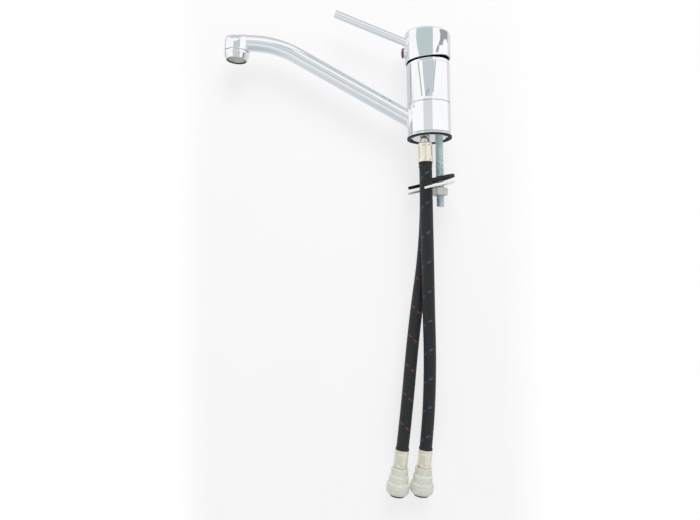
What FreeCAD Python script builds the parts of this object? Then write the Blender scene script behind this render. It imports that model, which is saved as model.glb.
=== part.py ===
import FreeCAD, Part
import math
import os

# Single-lever sink mixer: a round column with a swivel spout sleeve, a ceramic disc cartridge
# under a rocking handle cap, one fixing stud with a clamp, and two braided tails that end in
# push-fit pipe connectors. Millimetres, +Z up, origin on the deck under the middle of the
# column, spout towards -X, cold tail on the -Y side.

# Deck joint
GASKET_T = 1.6
GASKET_LIP = 0.9
GASKET_W = 3.8
BASE_T = 2.2
BASE_FLARE = 1.1

# Column
BODY_R = 21.1
SLEEVE_H = 29.3
SLIDE_GAP = 0.3
BARREL_H = 40.8
TOP_TILT = 2.1
BEAD_DROP = 3.5
GROOVE_W = 0.5
GROOVE_D = 0.4
BODY_EDGE_R = 0.5
STEM_INSET = 4.5
SLEEVE_WALL = 3.6
FIT = 0.05
PLAY = 0.3

# Slide rings and lip seals round the stem
RING_H = 5.0
RING_FLANGE_T = 1.4
RING_FLANGE_INSET = 2.1
SEAL_W = 3.0
SEAL_DEPTH = 1.9
SEAL_INSET = 8.5
ANNULUS_D = 1.2
ANNULUS_W = 9.0

# Water ways in the casting
PORT_X = (-5.6, -3.4)
PORT_Y = 8.5
PORT_R = 2.9
OUTLET_X = 8.6
OUTLET_R = 3.2
TAIL_THREAD_R = 4.9
TAIL_THREAD_L = 11.0
SOLE_LIFT = 0.8

# Fixing stud and clamp
STUD_X = 9.4
STUD_R = 3.9
STUD_END_Z = -66.8
STUD_HOLE_L = 11.5
CLAMP_Z = -45.6
CLAMP_TILT = 14.0
CLAMP_TURN = 17.0
CLAMP_R = 24.6
CLAMP_SHIFT = 2.0
CLAMP_NOTCH_HALF = 19.5
CLAMP_NOTCH_EDGE = -0.2
CLAMP_NOSE_R = 7.2
CLAMP_HOLE_R = 4.6
RUBBER_HOLE_R = 4.6
PLATE_T = 2.0
RUBBER_T = 3.0
RUBBER_LIFT = 3.0
NUT_ACROSS = 13.0
NUT_H = 7.5
NUT_DROP = 2.9

# Cartridge
FLOOR_Z = 46.0
CART_INSET = 3.8
CART_BASE_T = 5.0
PORT_SEAL_R = 4.7
PORT_SEAL_T = 1.2
FIXED_DISC_T = 3.5
DISC_TRAVEL_ROOM = 2.6
MOVING_DISC_T = 3.5
DISC_INLET_X = -3.4
DISC_INLET_Y = 6.3
DISC_INLET_R = 2.4
DISC_OUTLET_X = 6.6
DISC_OUTLET_R = 3.0
POCKET_X = (-0.8, 7.0)
POCKET_Y = 13.4
POCKET_D = 2.0
POCKET_CORNER_R = 1.8
PEG_R = 1.4
PEG_H = 1.8
PEG_PLACES = ((6.0, 12.0), (6.0, -12.0))
KEY_HALF = 1.8
KEY_BITE = 1.6
CARRIER_T = 2.9
CARRIER_BOSS_R = 6.4
CARRIER_BOSS_H = 1.4
HOUSING_WALL = 2.7
TURRET_INSET = 6.8
TURRET_FLANGE_INSET = 0.6
TURRET_FLANGE_T = 1.4
RAIL_L = 15.0
RAIL_T = 1.4
RAIL_DEPTH = 2.0
SHOULDER_T = 1.8
NECK_H = 8.0
NECK_WALL = 2.0
NUT_ROUND_H = 3.4
NUT_HEX_H = 3.6
CART_NUT_CLEAR = 0.4
NUT_THREAD_INSET = 3.1
COLLAR_INSET = 2.5
COLLAR_WALL = 0.9
COLLAR_LIP_T = 1.8

# Spindle
PIVOT_Z = 68.0
PIN_R = 1.5
STEM_SIDE = 7.0
SPINDLE_TOP_Z = 94.0
TOE_ARM = 7.0
TOE_R = 2.0
LIFT_UP = 8.0
LIFT_DOWN = 3.0

# Handle
CAP_OVERHANG = 1.3
CAP_WALL = 2.0
CAP_SIDE_Z = 75.8
CAP_TOP_Z = 104.0
CAP_ROCKER_R = 150.0
CAP_RIM_TILT = 4.6
CAP_TOP_TILT = 3.6
CAP_TOP_T = 4.0
CAP_EDGE_R = 1.6
HUB_R = 8.0
HUB_Z = 82.5
WEB_T = 2.4
LEVER_R = 3.7
LEVER_L = 74.9
LEVER_RISE = 23.8
LEVER_ROOT_Z = 97.2
LEVER_SEAT = 2.0
LEVER_STUD_R = 2.9
LEVER_STUD_L = 9.0
LEVER_EDGE_R = 0.5
BOSS_WALL = 2.0
INDEX_R = 5.1
INDEX_Z = 86.4
INDEX_PROUD = 2.5
INDEX_DOME = 1.4
INDEX_STEM_R = 3.6
GRUB_R = 2.4
GRUB_L = 5.5
GRUB_SOCKET = 2.5

# Spout
TUBE_R = 7.7
TUBE_WALL = 1.2
TUBE_START = (-22.0, 22.0)
TUBE_SLOPE = 30.75
BEND_R = 97.0
LEVEL_RUN = 9.9
HEAD_X = -188.4
HEAD_R = 12.3
HEAD_DROP = 8.9
HEAD_TILT = 4.0
HEAD_EDGE_R = 3.0
HEAD_WALL = 1.6
VAULT_R = 12.6
VAULT_OVER = 0.2
ROOT_FILLET_R = 2.5
AERATOR_GAP = 0.4
AERATOR_H = 7.8
AERATOR_R = 12.1
AERATOR_RIM_R = 10.6
AERATOR_THREAD_R = 10.4
AERATOR_THREAD_L = 5.5
AERATOR_WALL = 1.2
MESH_T = 0.6
MESH_INSET = 0.9
MESH_HOLE_R = 0.75
MESH_RINGS = 3
INSERT_L = 8.0
INSERT_WALL = 1.0
INSERT_CORE_R = 2.6
VANE_T = 0.8
WASHER_T = 1.6

# Tails
HOSE_R = 6.2
HOSE_BORE_R = 3.2
FERRULE_R = 6.9
UPPER_FERRULE_L = 19.0
LOWER_FERRULE_L = 17.6
FERRULE_END_T = 0.6
FERRULE_TOP_Z = -5.5
NECK_R = 4.4
BARB_L = 15.0
BARB_RIB = 0.25
BARB_RIBS = 4
WATERWAY_R = 2.2
TAIL_RING_R = 4.4
TAIL_RING_W = 1.6

# Push-fit connectors, along their own axis from the end of the lower ferrule
PIPE_R = 6.0
PIPE_PLAY = 0.1
STEP_R = (8.4, 9.5, 11.3)
STEP_S = (7.4, 14.6, 18.4)
STEP_EDGE = 0.9
CAP_END_S = 25.8
RIDGE_R = 11.5
RIDGE_W = 1.4
CAP_ROUND = 2.4
PIPE_STOP_S = 9.0
SEAL_SEAT_S = 14.6
SEAL_SEAT_R = 8.4
GRAB_RING_T = 0.6
COLLET_WALL = 1.2
COLLET_OUT = 1.8
COLLET_L = 6.4
COLLET_TRAVEL = 1.5

# Routes of the tails: hand-placed points of the braid's middle line, from inside the upper
# ferrule to inside the lower one
COLD_ROUTE = (
    (-5.6, -8.5, -6.1), (-5.6, -8.5, -38.0), (-5.4, -7.6, -78.0), (-4.9, -4.4, -122.0),
    (-4.4, 0.4, -166.0), (-3.4, 5.3, -210.0), (-4.3, 8.6, -250.0), (-6.9, 10.1, -287.0),
    (-11.2, 10.5, -322.0),
)
HOT_ROUTE = (
    (-3.4, 8.5, -6.1), (-3.4, 8.5, -38.0), (-4.0, 9.0, -78.0), (-8.0, 9.6, -122.0),
    (-15.2, 9.9, -166.0), (-20.9, 10.1, -210.0), (-25.2, 10.2, -250.0), (-29.7, 10.4, -287.0),
    (-34.5, 10.5, -322.0),
)
ROUTES = {"cold": COLD_ROUTE, "hot": HOT_ROUTE}

# Radii that follow from the column's
GASKET_R = BODY_R + GASKET_LIP
GASKET_BORE_R = GASKET_R - GASKET_W
BASE_FLARE_R = BODY_R + BASE_FLARE
STEM_R = BODY_R - STEM_INSET
SLEEVE_BORE_R = BODY_R - SLEEVE_WALL
RING_FLANGE_R = BODY_R - RING_FLANGE_INSET
ANNULUS_R = STEM_R - ANNULUS_D
CART_R = BODY_R - CART_INSET
TURRET_R = CART_R - TURRET_INSET
FIXED_DISC_R = CART_R - HOUSING_WALL - 0.4
MOVING_DISC_R = FIXED_DISC_R - DISC_TRAVEL_ROOM
TURRET_FLANGE_R = FIXED_DISC_R - TURRET_FLANGE_INSET
NUT_THREAD_R = BODY_R - NUT_THREAD_INSET
COLLAR_R = BODY_R - COLLAR_INSET
CART_NUT_HEX = (COLLAR_R - COLLAR_WALL - CART_NUT_CLEAR) * math.sqrt(3)
CAP_R = BODY_R + CAP_OVERHANG

# Heights that follow from the sizes above
BASE_TOP = GASKET_T + BASE_T
SLEEVE_Z0 = BASE_TOP + SLIDE_GAP
SLEEVE_Z1 = SLEEVE_Z0 + SLEEVE_H
BARREL_Z0 = SLEEVE_Z1 + SLIDE_GAP
BODY_TOP_Z = BARREL_Z0 + BARREL_H
ANNULUS_Z = (SLEEVE_Z0 + SLEEVE_Z1) / 2
FIXED_Z0 = FLOOR_Z + CART_BASE_T
MOVING_Z0 = FIXED_Z0 + FIXED_DISC_T + FIT
CARRIER_Z0 = MOVING_Z0 + MOVING_DISC_T
CARRIER_TOP = CARRIER_Z0 + CARRIER_T + CARRIER_BOSS_H
TURRET_Z0 = CARRIER_TOP + PLAY
SHOULDER_Z0 = TURRET_Z0 + TURRET_FLANGE_T + FIT
NUT_Z0 = SHOULDER_Z0 + SHOULDER_T
NECK_TOP = NUT_Z0 + NECK_H
TURRET_TOP = NECK_TOP + 1.0
COLLAR_Z0 = NUT_Z0 + NUT_ROUND_H
COLLAR_TOP = TURRET_TOP + PLAY + COLLAR_LIP_T
SLOPE = math.radians(TUBE_SLOPE)
BEND_X = HEAD_X + LEVEL_RUN + BEND_R * math.sin(SLOPE)
BEND_Z = TUBE_START[1] + (TUBE_START[0] - BEND_X) * math.tan(SLOPE)
SPOUT_Z = BEND_Z + BEND_R * (1 - math.cos(SLOPE))
HEAD_TOP = SPOUT_Z + TUBE_R
HEAD_BOTTOM = SPOUT_Z - HEAD_DROP
VAULT_Z = HEAD_TOP + VAULT_OVER - VAULT_R
AERATOR_TOP = HEAD_BOTTOM - AERATOR_GAP
AERATOR_BOTTOM = AERATOR_TOP - AERATOR_H

TALL = 400.0
ORIGIN = FreeCAD.Vector(0, 0, 0)
UP = FreeCAD.Vector(0, 0, 1)
DOWN = FreeCAD.Vector(0, 0, -1)
Y_AXIS = FreeCAD.Vector(0, 1, 0)


def vec(x, y, z):
    return FreeCAD.Vector(x, y, z)


def rod(radius, z0, z1, x=0.0, y=0.0):
    """Upright cylinder between two heights."""
    return Part.makeCylinder(radius, z1 - z0, vec(x, y, z0))


def ring(outer, inner, z0, z1, x=0.0, y=0.0):
    """Upright ring between two heights."""
    return rod(outer, z0, z1, x, y).cut(rod(inner, z0, z1, x, y))


def bar(radius, start, end):
    """Cylinder from one point to another."""
    run = end - start
    return Part.makeCylinder(radius, run.Length, start, run)


def turned(profile):
    """Solid of revolution about Z from a closed outline of (radius, height) points."""
    points = [vec(r, 0, z) for r, z in profile]
    face = Part.Face(Part.makePolygon(points + points[:1]))
    return face.revolve(ORIGIN, UP, 360)


def block(x0, x1, y0, y1, z0, z1):
    return Part.makeBox(x1 - x0, y1 - y0, z1 - z0, vec(x0, y0, z0))


def prism(outline, y_half):
    """Solid of an XZ outline, centred on the XZ plane."""
    points = [vec(x, -y_half, z) for x, z in outline]
    face = Part.Face(Part.makePolygon(points + points[:1]))
    return face.extrude(vec(0, 2 * y_half, 0))


def hexagon(across, z0, z1):
    """Upright hexagonal prism with both ends chamfered."""
    corner = across / math.sqrt(3)
    points = [vec(corner * math.cos(math.radians(60 * i)), corner * math.sin(math.radians(60 * i)), z0)
              for i in range(7)]
    prism_solid = Part.Face(Part.makePolygon(points)).extrude(vec(0, 0, z1 - z0))
    chamfer = (corner - across / 2) * 0.6
    flat = across / 2 * 0.98
    barrel = turned([(0, z0), (flat, z0), (corner, z0 + chamfer), (corner, z1 - chamfer),
                     (flat, z1), (0, z1)])
    return prism_solid.common(barrel)


def half_space_above(z, tilt):
    """Big block above a plane that crosses the Z axis at height z and rises towards +X."""
    big = block(-TALL, TALL, -TALL, TALL, z, z + TALL)
    big.rotate(vec(0, 0, z), Y_AXIS, -tilt)
    return big


def joined(shapes):
    result = shapes[0]
    for shape in shapes[1:]:
        result = result.fuse(shape)
    return result.removeSplitter()


def placed(shape, start, direction):
    """Move a shape built along -Z from the origin so that it starts at a point and runs along
    a direction."""
    turn = FreeCAD.Rotation(DOWN, direction)
    copy = shape.copy()
    copy.Placement = FreeCAD.Placement(start, turn)
    return copy


def circles_at(shape, z, radius):
    """Circular edges of a shape at one height and radius."""
    found = []
    for edge in shape.Edges:
        curve = edge.Curve
        if isinstance(curve, Part.Circle) and abs(curve.Radius - radius) < 1e-3:
            if abs(curve.Center.z - z) < 1e-3:
                found.append(edge)
    return found


# Column: casting, base ring and gasket

def make_body_casting():
    """Barrel over a thinner stem, with the cartridge well, the water ways and the grooves."""
    barrel = rod(BODY_R, BARREL_Z0, BODY_TOP_Z + BODY_R)
    barrel = barrel.cut(half_space_above(BODY_TOP_Z, TOP_TILT))
    rim = [e for e in barrel.Edges if e.BoundBox.ZMin > BARREL_Z0 + 1 and e.BoundBox.XLength > BODY_R]
    barrel = barrel.makeFillet(BODY_EDGE_R, rim)
    groove = half_space_above(BODY_TOP_Z - BEAD_DROP, TOP_TILT)
    groove = groove.cut(half_space_above(BODY_TOP_Z - BEAD_DROP + GROOVE_W, TOP_TILT))
    groove = groove.common(ring(BODY_R + 1, BODY_R - GROOVE_D, BARREL_Z0, BODY_TOP_Z + BODY_R))
    barrel = barrel.cut(groove)
    body = barrel.fuse(rod(STEM_R, SOLE_LIFT, BARREL_Z0))
    body = body.cut(rod(CART_R + FIT, FLOOR_Z, NUT_Z0))
    body = body.cut(rod(NUT_THREAD_R + FIT, NUT_Z0, COLLAR_Z0))
    body = body.cut(rod(COLLAR_R + PLAY, COLLAR_Z0, BODY_TOP_Z + BODY_R))
    for z in seal_heights():
        body = body.cut(ring(STEM_R + 1, STEM_R - SEAL_DEPTH, z - SEAL_W / 2, z + SEAL_W / 2))
    body = body.cut(ring(STEM_R + 1, ANNULUS_R, ANNULUS_Z - ANNULUS_W / 2, ANNULUS_Z + ANNULUS_W / 2))
    for x, y in inlet_places():
        body = body.cut(rod(PORT_R, SOLE_LIFT, FLOOR_Z, x, y))
        body = body.cut(rod(TAIL_THREAD_R, SOLE_LIFT, SOLE_LIFT + TAIL_THREAD_L, x, y))
    body = body.cut(rod(STUD_R, SOLE_LIFT, SOLE_LIFT + STUD_HOLE_L, STUD_X))
    body = body.cut(rod(OUTLET_R, ANNULUS_Z, FLOOR_Z, OUTLET_X))
    body = body.cut(bar(OUTLET_R, vec(OUTLET_X, 0, ANNULUS_Z), vec(STEM_R + 1, 0, ANNULUS_Z)))
    for peg in PEG_PLACES:
        body = body.cut(rod(PEG_R, FLOOR_Z - PEG_H - FIT, FLOOR_Z, *peg))
    return body


def seal_heights():
    return (SLEEVE_Z0 + SEAL_INSET, SLEEVE_Z1 - SEAL_INSET)


def inlet_places():
    """Cold inlet, then hot inlet."""
    return ((PORT_X[0], -PORT_Y), (PORT_X[1], PORT_Y))


def make_base_ring():
    """Flared ring that screws on the stem's foot and keeps the sleeve on."""
    face_r = BODY_R + 0.1
    outline = [(STEM_R, GASKET_T), (BASE_FLARE_R - 0.2, GASKET_T), (BASE_FLARE_R, GASKET_T + 0.3),
               (face_r + 0.35, GASKET_T + 1.3), (face_r, BASE_TOP), (STEM_R, BASE_TOP)]
    return turned(outline)


def make_base_gasket():
    return ring(GASKET_R, GASKET_BORE_R, 0, GASKET_T)


def make_slide_ring(z0, flange_down):
    """Plastic bearing ring with a flange, between the stem and one end of the sleeve."""
    if flange_down:
        flange = (z0 - SLIDE_GAP, z0 + RING_FLANGE_T)
        wall = (z0 + RING_FLANGE_T, z0 + RING_H)
    else:
        flange = (z0 - RING_FLANGE_T, z0 + SLIDE_GAP)
        wall = (z0 - RING_H, z0 - RING_FLANGE_T)
    flange_ring = ring(RING_FLANGE_R, STEM_R, flange[0], flange[1])
    return joined([flange_ring, ring(SLEEVE_BORE_R - FIT, STEM_R, wall[0], wall[1])])


def make_spout_seals():
    """Two lip seals, each a ring with a hollow V between its lips."""
    inner = STEM_R - SEAL_DEPTH
    outer = SLEEVE_BORE_R - FIT
    half = SEAL_W / 2 - FIT
    rings = []
    for z, lip in zip(seal_heights(), (1, -1)):
        outline = [(inner, z - half * lip), (outer - 0.5, z - half * lip), (outer, z + half * lip),
                   (outer - 0.6, z + half * lip), ((inner + outer) / 2, z),
                   (inner + 0.6, z + half * lip), (inner, z + half * lip)]
        rings.append(turned(outline))
    return Part.Compound(rings)


# Spout with its sleeve, and the aerator

def tube_path():
    """Middle line of the spout: a sloping run, a bend and a level run to the head."""
    x0, z0 = TUBE_START
    inner_x = -(STEM_R - 5)
    start = vec(inner_x, 0, z0 - (inner_x - x0) * math.tan(SLOPE))
    bend_start = vec(BEND_X, 0, BEND_Z)
    bend_end = vec(HEAD_X + LEVEL_RUN, 0, SPOUT_Z)
    half = SLOPE / 2
    bend_mid = vec(bend_end.x + BEND_R * math.sin(half), 0, SPOUT_Z - BEND_R * (1 - math.cos(half)))
    edges = [Part.LineSegment(start, bend_start).toShape(),
             Part.Arc(bend_start, bend_mid, bend_end).toShape(),
             Part.LineSegment(bend_end, vec(HEAD_X, 0, SPOUT_Z)).toShape()]
    return Part.Wire(edges), start, (bend_start - start).normalize()


def tube_solid(radius):
    path, start, direction = tube_path()
    circle = Part.Wire(Part.makeCircle(radius, start, direction))
    return path.makePipe(Part.Face(circle))


def make_spout():
    """Sleeve, tube and outlet head in one brazed piece."""
    sleeve = rod(BODY_R, SLEEVE_Z0, SLEEVE_Z1)
    core = rod(STEM_R, SLEEVE_Z0, SLEEVE_Z1)
    arm = sleeve.cut(core).fuse(tube_solid(TUBE_R).cut(core))
    root = [e for e in arm.Edges if is_root_edge(e)]
    arm = arm.makeFillet(ROOT_FILLET_R, root)
    spout = arm.fuse(outlet_head())
    spout = spout.cut(rod(SLEEVE_BORE_R, SLEEVE_Z0, SLEEVE_Z1))
    counterbore = RING_FLANGE_T + FIT
    spout = spout.cut(rod(RING_FLANGE_R + PLAY, SLEEVE_Z0, SLEEVE_Z0 + counterbore))
    spout = spout.cut(rod(RING_FLANGE_R + PLAY, SLEEVE_Z1 - counterbore, SLEEVE_Z1))
    spout = spout.cut(tube_solid(TUBE_R - TUBE_WALL))
    return spout.cut(vaulted(head_bore_r(), VAULT_R - HEAD_WALL, 1.0))


def vaulted(radius, vault_r, below=0.0):
    """Leaning cylinder of the outlet head, closed above by a barrel vault along the tube."""
    post = in_head_frame(rod(radius, HEAD_BOTTOM - below, VAULT_Z + 2 * VAULT_R, HEAD_X))
    vault = bar(vault_r, vec(HEAD_X - 2 * VAULT_R, 0, VAULT_Z), vec(HEAD_X + 2 * VAULT_R, 0, VAULT_Z))
    lower = block(HEAD_X - 2 * VAULT_R, HEAD_X + 2 * VAULT_R, -vault_r, vault_r,
                  HEAD_BOTTOM - VAULT_R, VAULT_Z)
    return post.common(vault.fuse(lower)).removeSplitter()


def outlet_head():
    """Outlet head with a soft edge where its side meets the vault."""
    head = vaulted(HEAD_R, VAULT_R)
    edge = [e for e in head.Edges
            if e.BoundBox.ZMax > VAULT_Z + VAULT_R / 2 and e.BoundBox.YLength > HEAD_R]
    return head.makeFillet(HEAD_EDGE_R, edge)


def in_head_frame(shape):
    """Lean a piece of the head about the end of the tube, with its mouth away from the column."""
    copy = shape.copy()
    copy.rotate(vec(HEAD_X, 0, SPOUT_Z), Y_AXIS, HEAD_TILT)
    return copy


def is_root_edge(edge):
    """The seam where the tube leaves the outside of the sleeve."""
    box = edge.BoundBox
    on_tube = box.YLength > TUBE_R and box.XMax < -STEM_R
    return on_tube and box.ZMin > SLEEVE_Z0 + 1 and box.ZMax < SLEEVE_Z1 + 6


def head_bore_r():
    return AERATOR_THREAD_R + FIT


def make_aerator_housing():
    """Screw-in cup with a tapered skirt and an inward lip that holds the mesh."""
    thread_top = HEAD_BOTTOM + AERATOR_THREAD_L
    bore = aerator_bore_r()
    lip = bore - 0.7
    outline = [(bore, thread_top), (AERATOR_THREAD_R, thread_top), (AERATOR_THREAD_R, AERATOR_TOP),
               (AERATOR_R - 0.3, AERATOR_TOP), (AERATOR_R, AERATOR_TOP - 0.3),
               (AERATOR_R, AERATOR_TOP - 2.4), (AERATOR_RIM_R, AERATOR_BOTTOM + 0.3),
               (AERATOR_RIM_R - 0.3, AERATOR_BOTTOM), (lip, AERATOR_BOTTOM),
               (lip, AERATOR_BOTTOM + MESH_INSET), (bore, AERATOR_BOTTOM + MESH_INSET)]
    housing = turned(outline)
    housing.translate(vec(HEAD_X, 0, 0))
    return in_head_frame(housing)


def aerator_bore_r():
    return AERATOR_RIM_R - AERATOR_WALL


def make_aerator_mesh():
    """Round screen with rings of small holes."""
    z0 = AERATOR_BOTTOM + MESH_INSET
    screen = rod(aerator_bore_r(), z0, z0 + MESH_T, HEAD_X)
    pitch = (aerator_bore_r() - 1.2) / (MESH_RINGS + 0.5)
    holes = [rod(MESH_HOLE_R, z0, z0 + MESH_T, HEAD_X)]
    for k in range(1, MESH_RINGS + 1):
        count = 6 * k
        for i in range(count):
            angle = 2 * math.pi * i / count
            holes.append(rod(MESH_HOLE_R, z0, z0 + MESH_T, HEAD_X + k * pitch * math.cos(angle),
                             k * pitch * math.sin(angle)))
    return in_head_frame(screen.cut(Part.Compound(holes)))


def make_aerator_insert():
    """Plastic flow straightener: a ring with a cross of vanes and a small middle tube."""
    z0 = AERATOR_BOTTOM + MESH_INSET + MESH_T
    z1 = z0 + INSERT_L
    outer = aerator_bore_r()
    wall = ring(outer, outer - INSERT_WALL, z0, z1, HEAD_X)
    core = ring(INSERT_CORE_R, INSERT_CORE_R - INSERT_WALL, z0, z1, HEAD_X)
    vanes = []
    for i in range(6):
        vane = block(HEAD_X + INSERT_CORE_R - INSERT_WALL / 2, HEAD_X + outer - INSERT_WALL / 2,
                     -VANE_T / 2, VANE_T / 2, z0, z1)
        vane.rotate(vec(HEAD_X, 0, 0), UP, 60 * i)
        vanes.append(vane)
    return in_head_frame(joined([wall, core] + vanes))


def make_aerator_seal():
    z0 = HEAD_BOTTOM + AERATOR_THREAD_L
    return in_head_frame(ring(AERATOR_THREAD_R - 0.2, AERATOR_THREAD_R - 3.0, z0, z0 + WASHER_T, HEAD_X))


# Cartridge

def port_places():
    return inlet_places() + ((OUTLET_X, 0.0),)


def disc_ports():
    """Places and radii of the ports in the ceramic discs: cold, hot and the outlet."""
    return ((DISC_INLET_X, -DISC_INLET_Y, DISC_INLET_R), (DISC_INLET_X, DISC_INLET_Y, DISC_INLET_R),
            (DISC_OUTLET_X, 0.0, DISC_OUTLET_R))


def make_cartridge_base():
    """Plastic foot that carries the fixed disc and leads the ports inwards."""
    base = rod(CART_R, FLOOR_Z, FIXED_Z0)
    for (x, y), (dx, dy, dr) in zip(port_places(), disc_ports()):
        low = Part.Wire(Part.makeCircle(PORT_R, vec(x, y, FLOOR_Z)))
        high = Part.Wire(Part.makeCircle(dr, vec(dx, dy, FIXED_Z0)))
        base = base.cut(Part.makeLoft([low, high], True))
        base = base.cut(rod(PORT_SEAL_R, FLOOR_Z, FLOOR_Z + PORT_SEAL_T, x, y))
    for peg in PEG_PLACES:
        base = base.fuse(rod(PEG_R - FIT, FLOOR_Z - PEG_H, FLOOR_Z + PEG_H, *peg))
    for side in (-1, 1):
        base = base.fuse(key_block(side, KEY_HALF, FIXED_Z0 - FIXED_DISC_T / 2,
                                   FIXED_Z0 + FIXED_DISC_T * 0.7))
    return base.removeSplitter()


def key_block(side, half, z0, z1):
    """Key between the foot and the edge of the fixed disc."""
    key = block(FIXED_DISC_R - KEY_BITE, CART_R - HOUSING_WALL - 0.2, -half, half, z0, z1)
    key.rotate(ORIGIN, UP, 90 * side)
    return key


def make_port_seals():
    rings = [ring(PORT_SEAL_R, PORT_R + 0.5, FLOOR_Z, FLOOR_Z + PORT_SEAL_T, x, y)
             for x, y in port_places()]
    return Part.Compound(rings)


def make_fixed_disc():
    disc = rod(FIXED_DISC_R, FIXED_Z0, FIXED_Z0 + FIXED_DISC_T)
    for x, y, r in disc_ports():
        disc = disc.cut(rod(r, FIXED_Z0, FIXED_Z0 + FIXED_DISC_T, x, y))
    for side in (-1, 1):
        disc = disc.cut(key_block(side, KEY_HALF + 2 * FIT, FIXED_Z0, FIXED_Z0 + FIXED_DISC_T))
    return disc


def make_moving_disc():
    """Ceramic disc with the pocket that bridges the inlets and the outlet."""
    disc = rod(MOVING_DISC_R, MOVING_Z0, CARRIER_Z0)
    pocket = block(*POCKET_X, -POCKET_Y / 2, POCKET_Y / 2, MOVING_Z0, MOVING_Z0 + POCKET_D)
    upright = [e for e in pocket.Edges if e.BoundBox.ZLength > POCKET_D / 2]
    return disc.cut(pocket.makeFillet(POCKET_CORNER_R, upright))


def make_disc_carrier():
    """Plastic slider on the moving disc, with flats for the guide rails and a flared socket."""
    plate = rod(MOVING_DISC_R - 0.2, CARRIER_Z0, CARRIER_Z0 + CARRIER_T)
    flat = rail_inner_y() - 0.15
    plate = plate.common(block(-TALL, TALL, -flat, flat, CARRIER_Z0, CARRIER_Z0 + CARRIER_T))
    carrier = plate.fuse(rod(CARRIER_BOSS_R, CARRIER_Z0, CARRIER_TOP))
    half = TOE_R + 0.08
    floor = PIVOT_Z - TOE_ARM - TOE_R - 0.4
    waist = PIVOT_Z - TOE_ARM + 0.6
    socket = prism([(-half, floor), (half, floor), (half, waist), (half + 1.5, CARRIER_TOP + 1),
                    (-half - 1.5, CARRIER_TOP + 1), (-half, waist)], STEM_SIDE / 2 + PLAY)
    return carrier.cut(socket).removeSplitter()


def rail_inner_y():
    return MOVING_DISC_R - 2.4


def make_turret():
    """Turning part of the cartridge: flange, round neck, spindle slot and two guide rails."""
    turret = rod(TURRET_R, TURRET_Z0, TURRET_TOP)
    turret = turret.fuse(rod(TURRET_FLANGE_R, TURRET_Z0, TURRET_Z0 + TURRET_FLANGE_T))
    for side in (-1, 1):
        y0, y1 = sorted((side * rail_inner_y(), side * (rail_inner_y() + RAIL_T)))
        turret = turret.fuse(block(-RAIL_L / 2, RAIL_L / 2, y0, y1, CARRIER_Z0 + CARRIER_T - RAIL_DEPTH,
                                   TURRET_Z0 + TURRET_FLANGE_T / 2))
    half = STEM_SIDE / 2 + PLAY
    top_swing = (TURRET_TOP - PIVOT_Z) * math.tan(math.radians(LIFT_UP + 1))
    low_swing = (PIVOT_Z - TURRET_Z0) * math.tan(math.radians(LIFT_UP + 1))
    slot = prism([(-half - top_swing, TURRET_TOP + 1), (-half, PIVOT_Z), (-half - low_swing, TURRET_Z0 - 1),
                  (half + low_swing, TURRET_Z0 - 1), (half, PIVOT_Z), (half + top_swing, TURRET_TOP + 1)],
                 half)
    turret = turret.cut(slot)
    pin_reach = TURRET_R - 0.4
    return turret.cut(bar(PIN_R, vec(0, -pin_reach, PIVOT_Z), vec(0, pin_reach, PIVOT_Z))).removeSplitter()


def make_spindle_pin():
    reach = TURRET_R - 0.4
    return bar(PIN_R, vec(0, -reach, PIVOT_Z), vec(0, reach, PIVOT_Z))


def make_spindle():
    """Square steel spindle: pivot hole, narrow toe with a round end, square head."""
    half = STEM_SIDE / 2
    toe_z = PIVOT_Z - TOE_ARM
    shoulder = PIVOT_Z - TOE_ARM / 2
    spindle = block(-half, half, -half, half, shoulder, SPINDLE_TOP_Z)
    toe = block(-TOE_R * 0.7, TOE_R * 0.7, -half, half, toe_z, shoulder)
    ball = bar(TOE_R, vec(0, -half, toe_z), vec(0, half, toe_z))
    spindle = joined([spindle, toe, ball])
    return spindle.cut(bar(PIN_R + FIT, vec(0, -half - 1, PIVOT_Z), vec(0, half + 1, PIVOT_Z)))


def make_cartridge_housing():
    """Plastic can over the discs, with a shoulder and a neck that guides the turret."""
    bore = CART_R - HOUSING_WALL
    neck_bore = TURRET_R + FIT
    outline = [(bore, FIXED_Z0), (CART_R, FIXED_Z0), (CART_R, NUT_Z0), (neck_bore + NECK_WALL, NUT_Z0),
               (neck_bore + NECK_WALL, NECK_TOP), (neck_bore, NECK_TOP), (neck_bore, SHOULDER_Z0),
               (bore, SHOULDER_Z0)]
    return turned(outline)


def make_cartridge_nut():
    """Brass retaining nut: a threaded ring below and a hexagon above."""
    nut = rod(NUT_THREAD_R, NUT_Z0, COLLAR_Z0)
    nut = nut.fuse(hexagon(CART_NUT_HEX, COLLAR_Z0, COLLAR_Z0 + NUT_HEX_H))
    return nut.cut(rod(TURRET_R + FIT + NECK_WALL + PLAY, NUT_Z0, COLLAR_Z0 + NUT_HEX_H)).removeSplitter()


def make_gap_collar():
    """Black plastic shroud that hides the nut in the gap under the handle."""
    inner = TURRET_R + FIT + NECK_WALL + PLAY
    outline = [(COLLAR_R - COLLAR_WALL, COLLAR_Z0), (COLLAR_R, COLLAR_Z0), (COLLAR_R, COLLAR_TOP - 0.6),
               (COLLAR_R - 0.6, COLLAR_TOP), (inner, COLLAR_TOP), (inner, COLLAR_TOP - COLLAR_LIP_T),
               (COLLAR_R - COLLAR_WALL, COLLAR_TOP - COLLAR_LIP_T)]
    return turned(outline)


# Handle

def lever_axis():
    """Root point on the cap's wall and direction of the lever, which stands over the spout."""
    rise = math.radians(LEVER_RISE)
    return vec(-CAP_R, 0, LEVER_ROOT_Z), vec(-math.cos(rise), 0, math.sin(rise))


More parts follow.
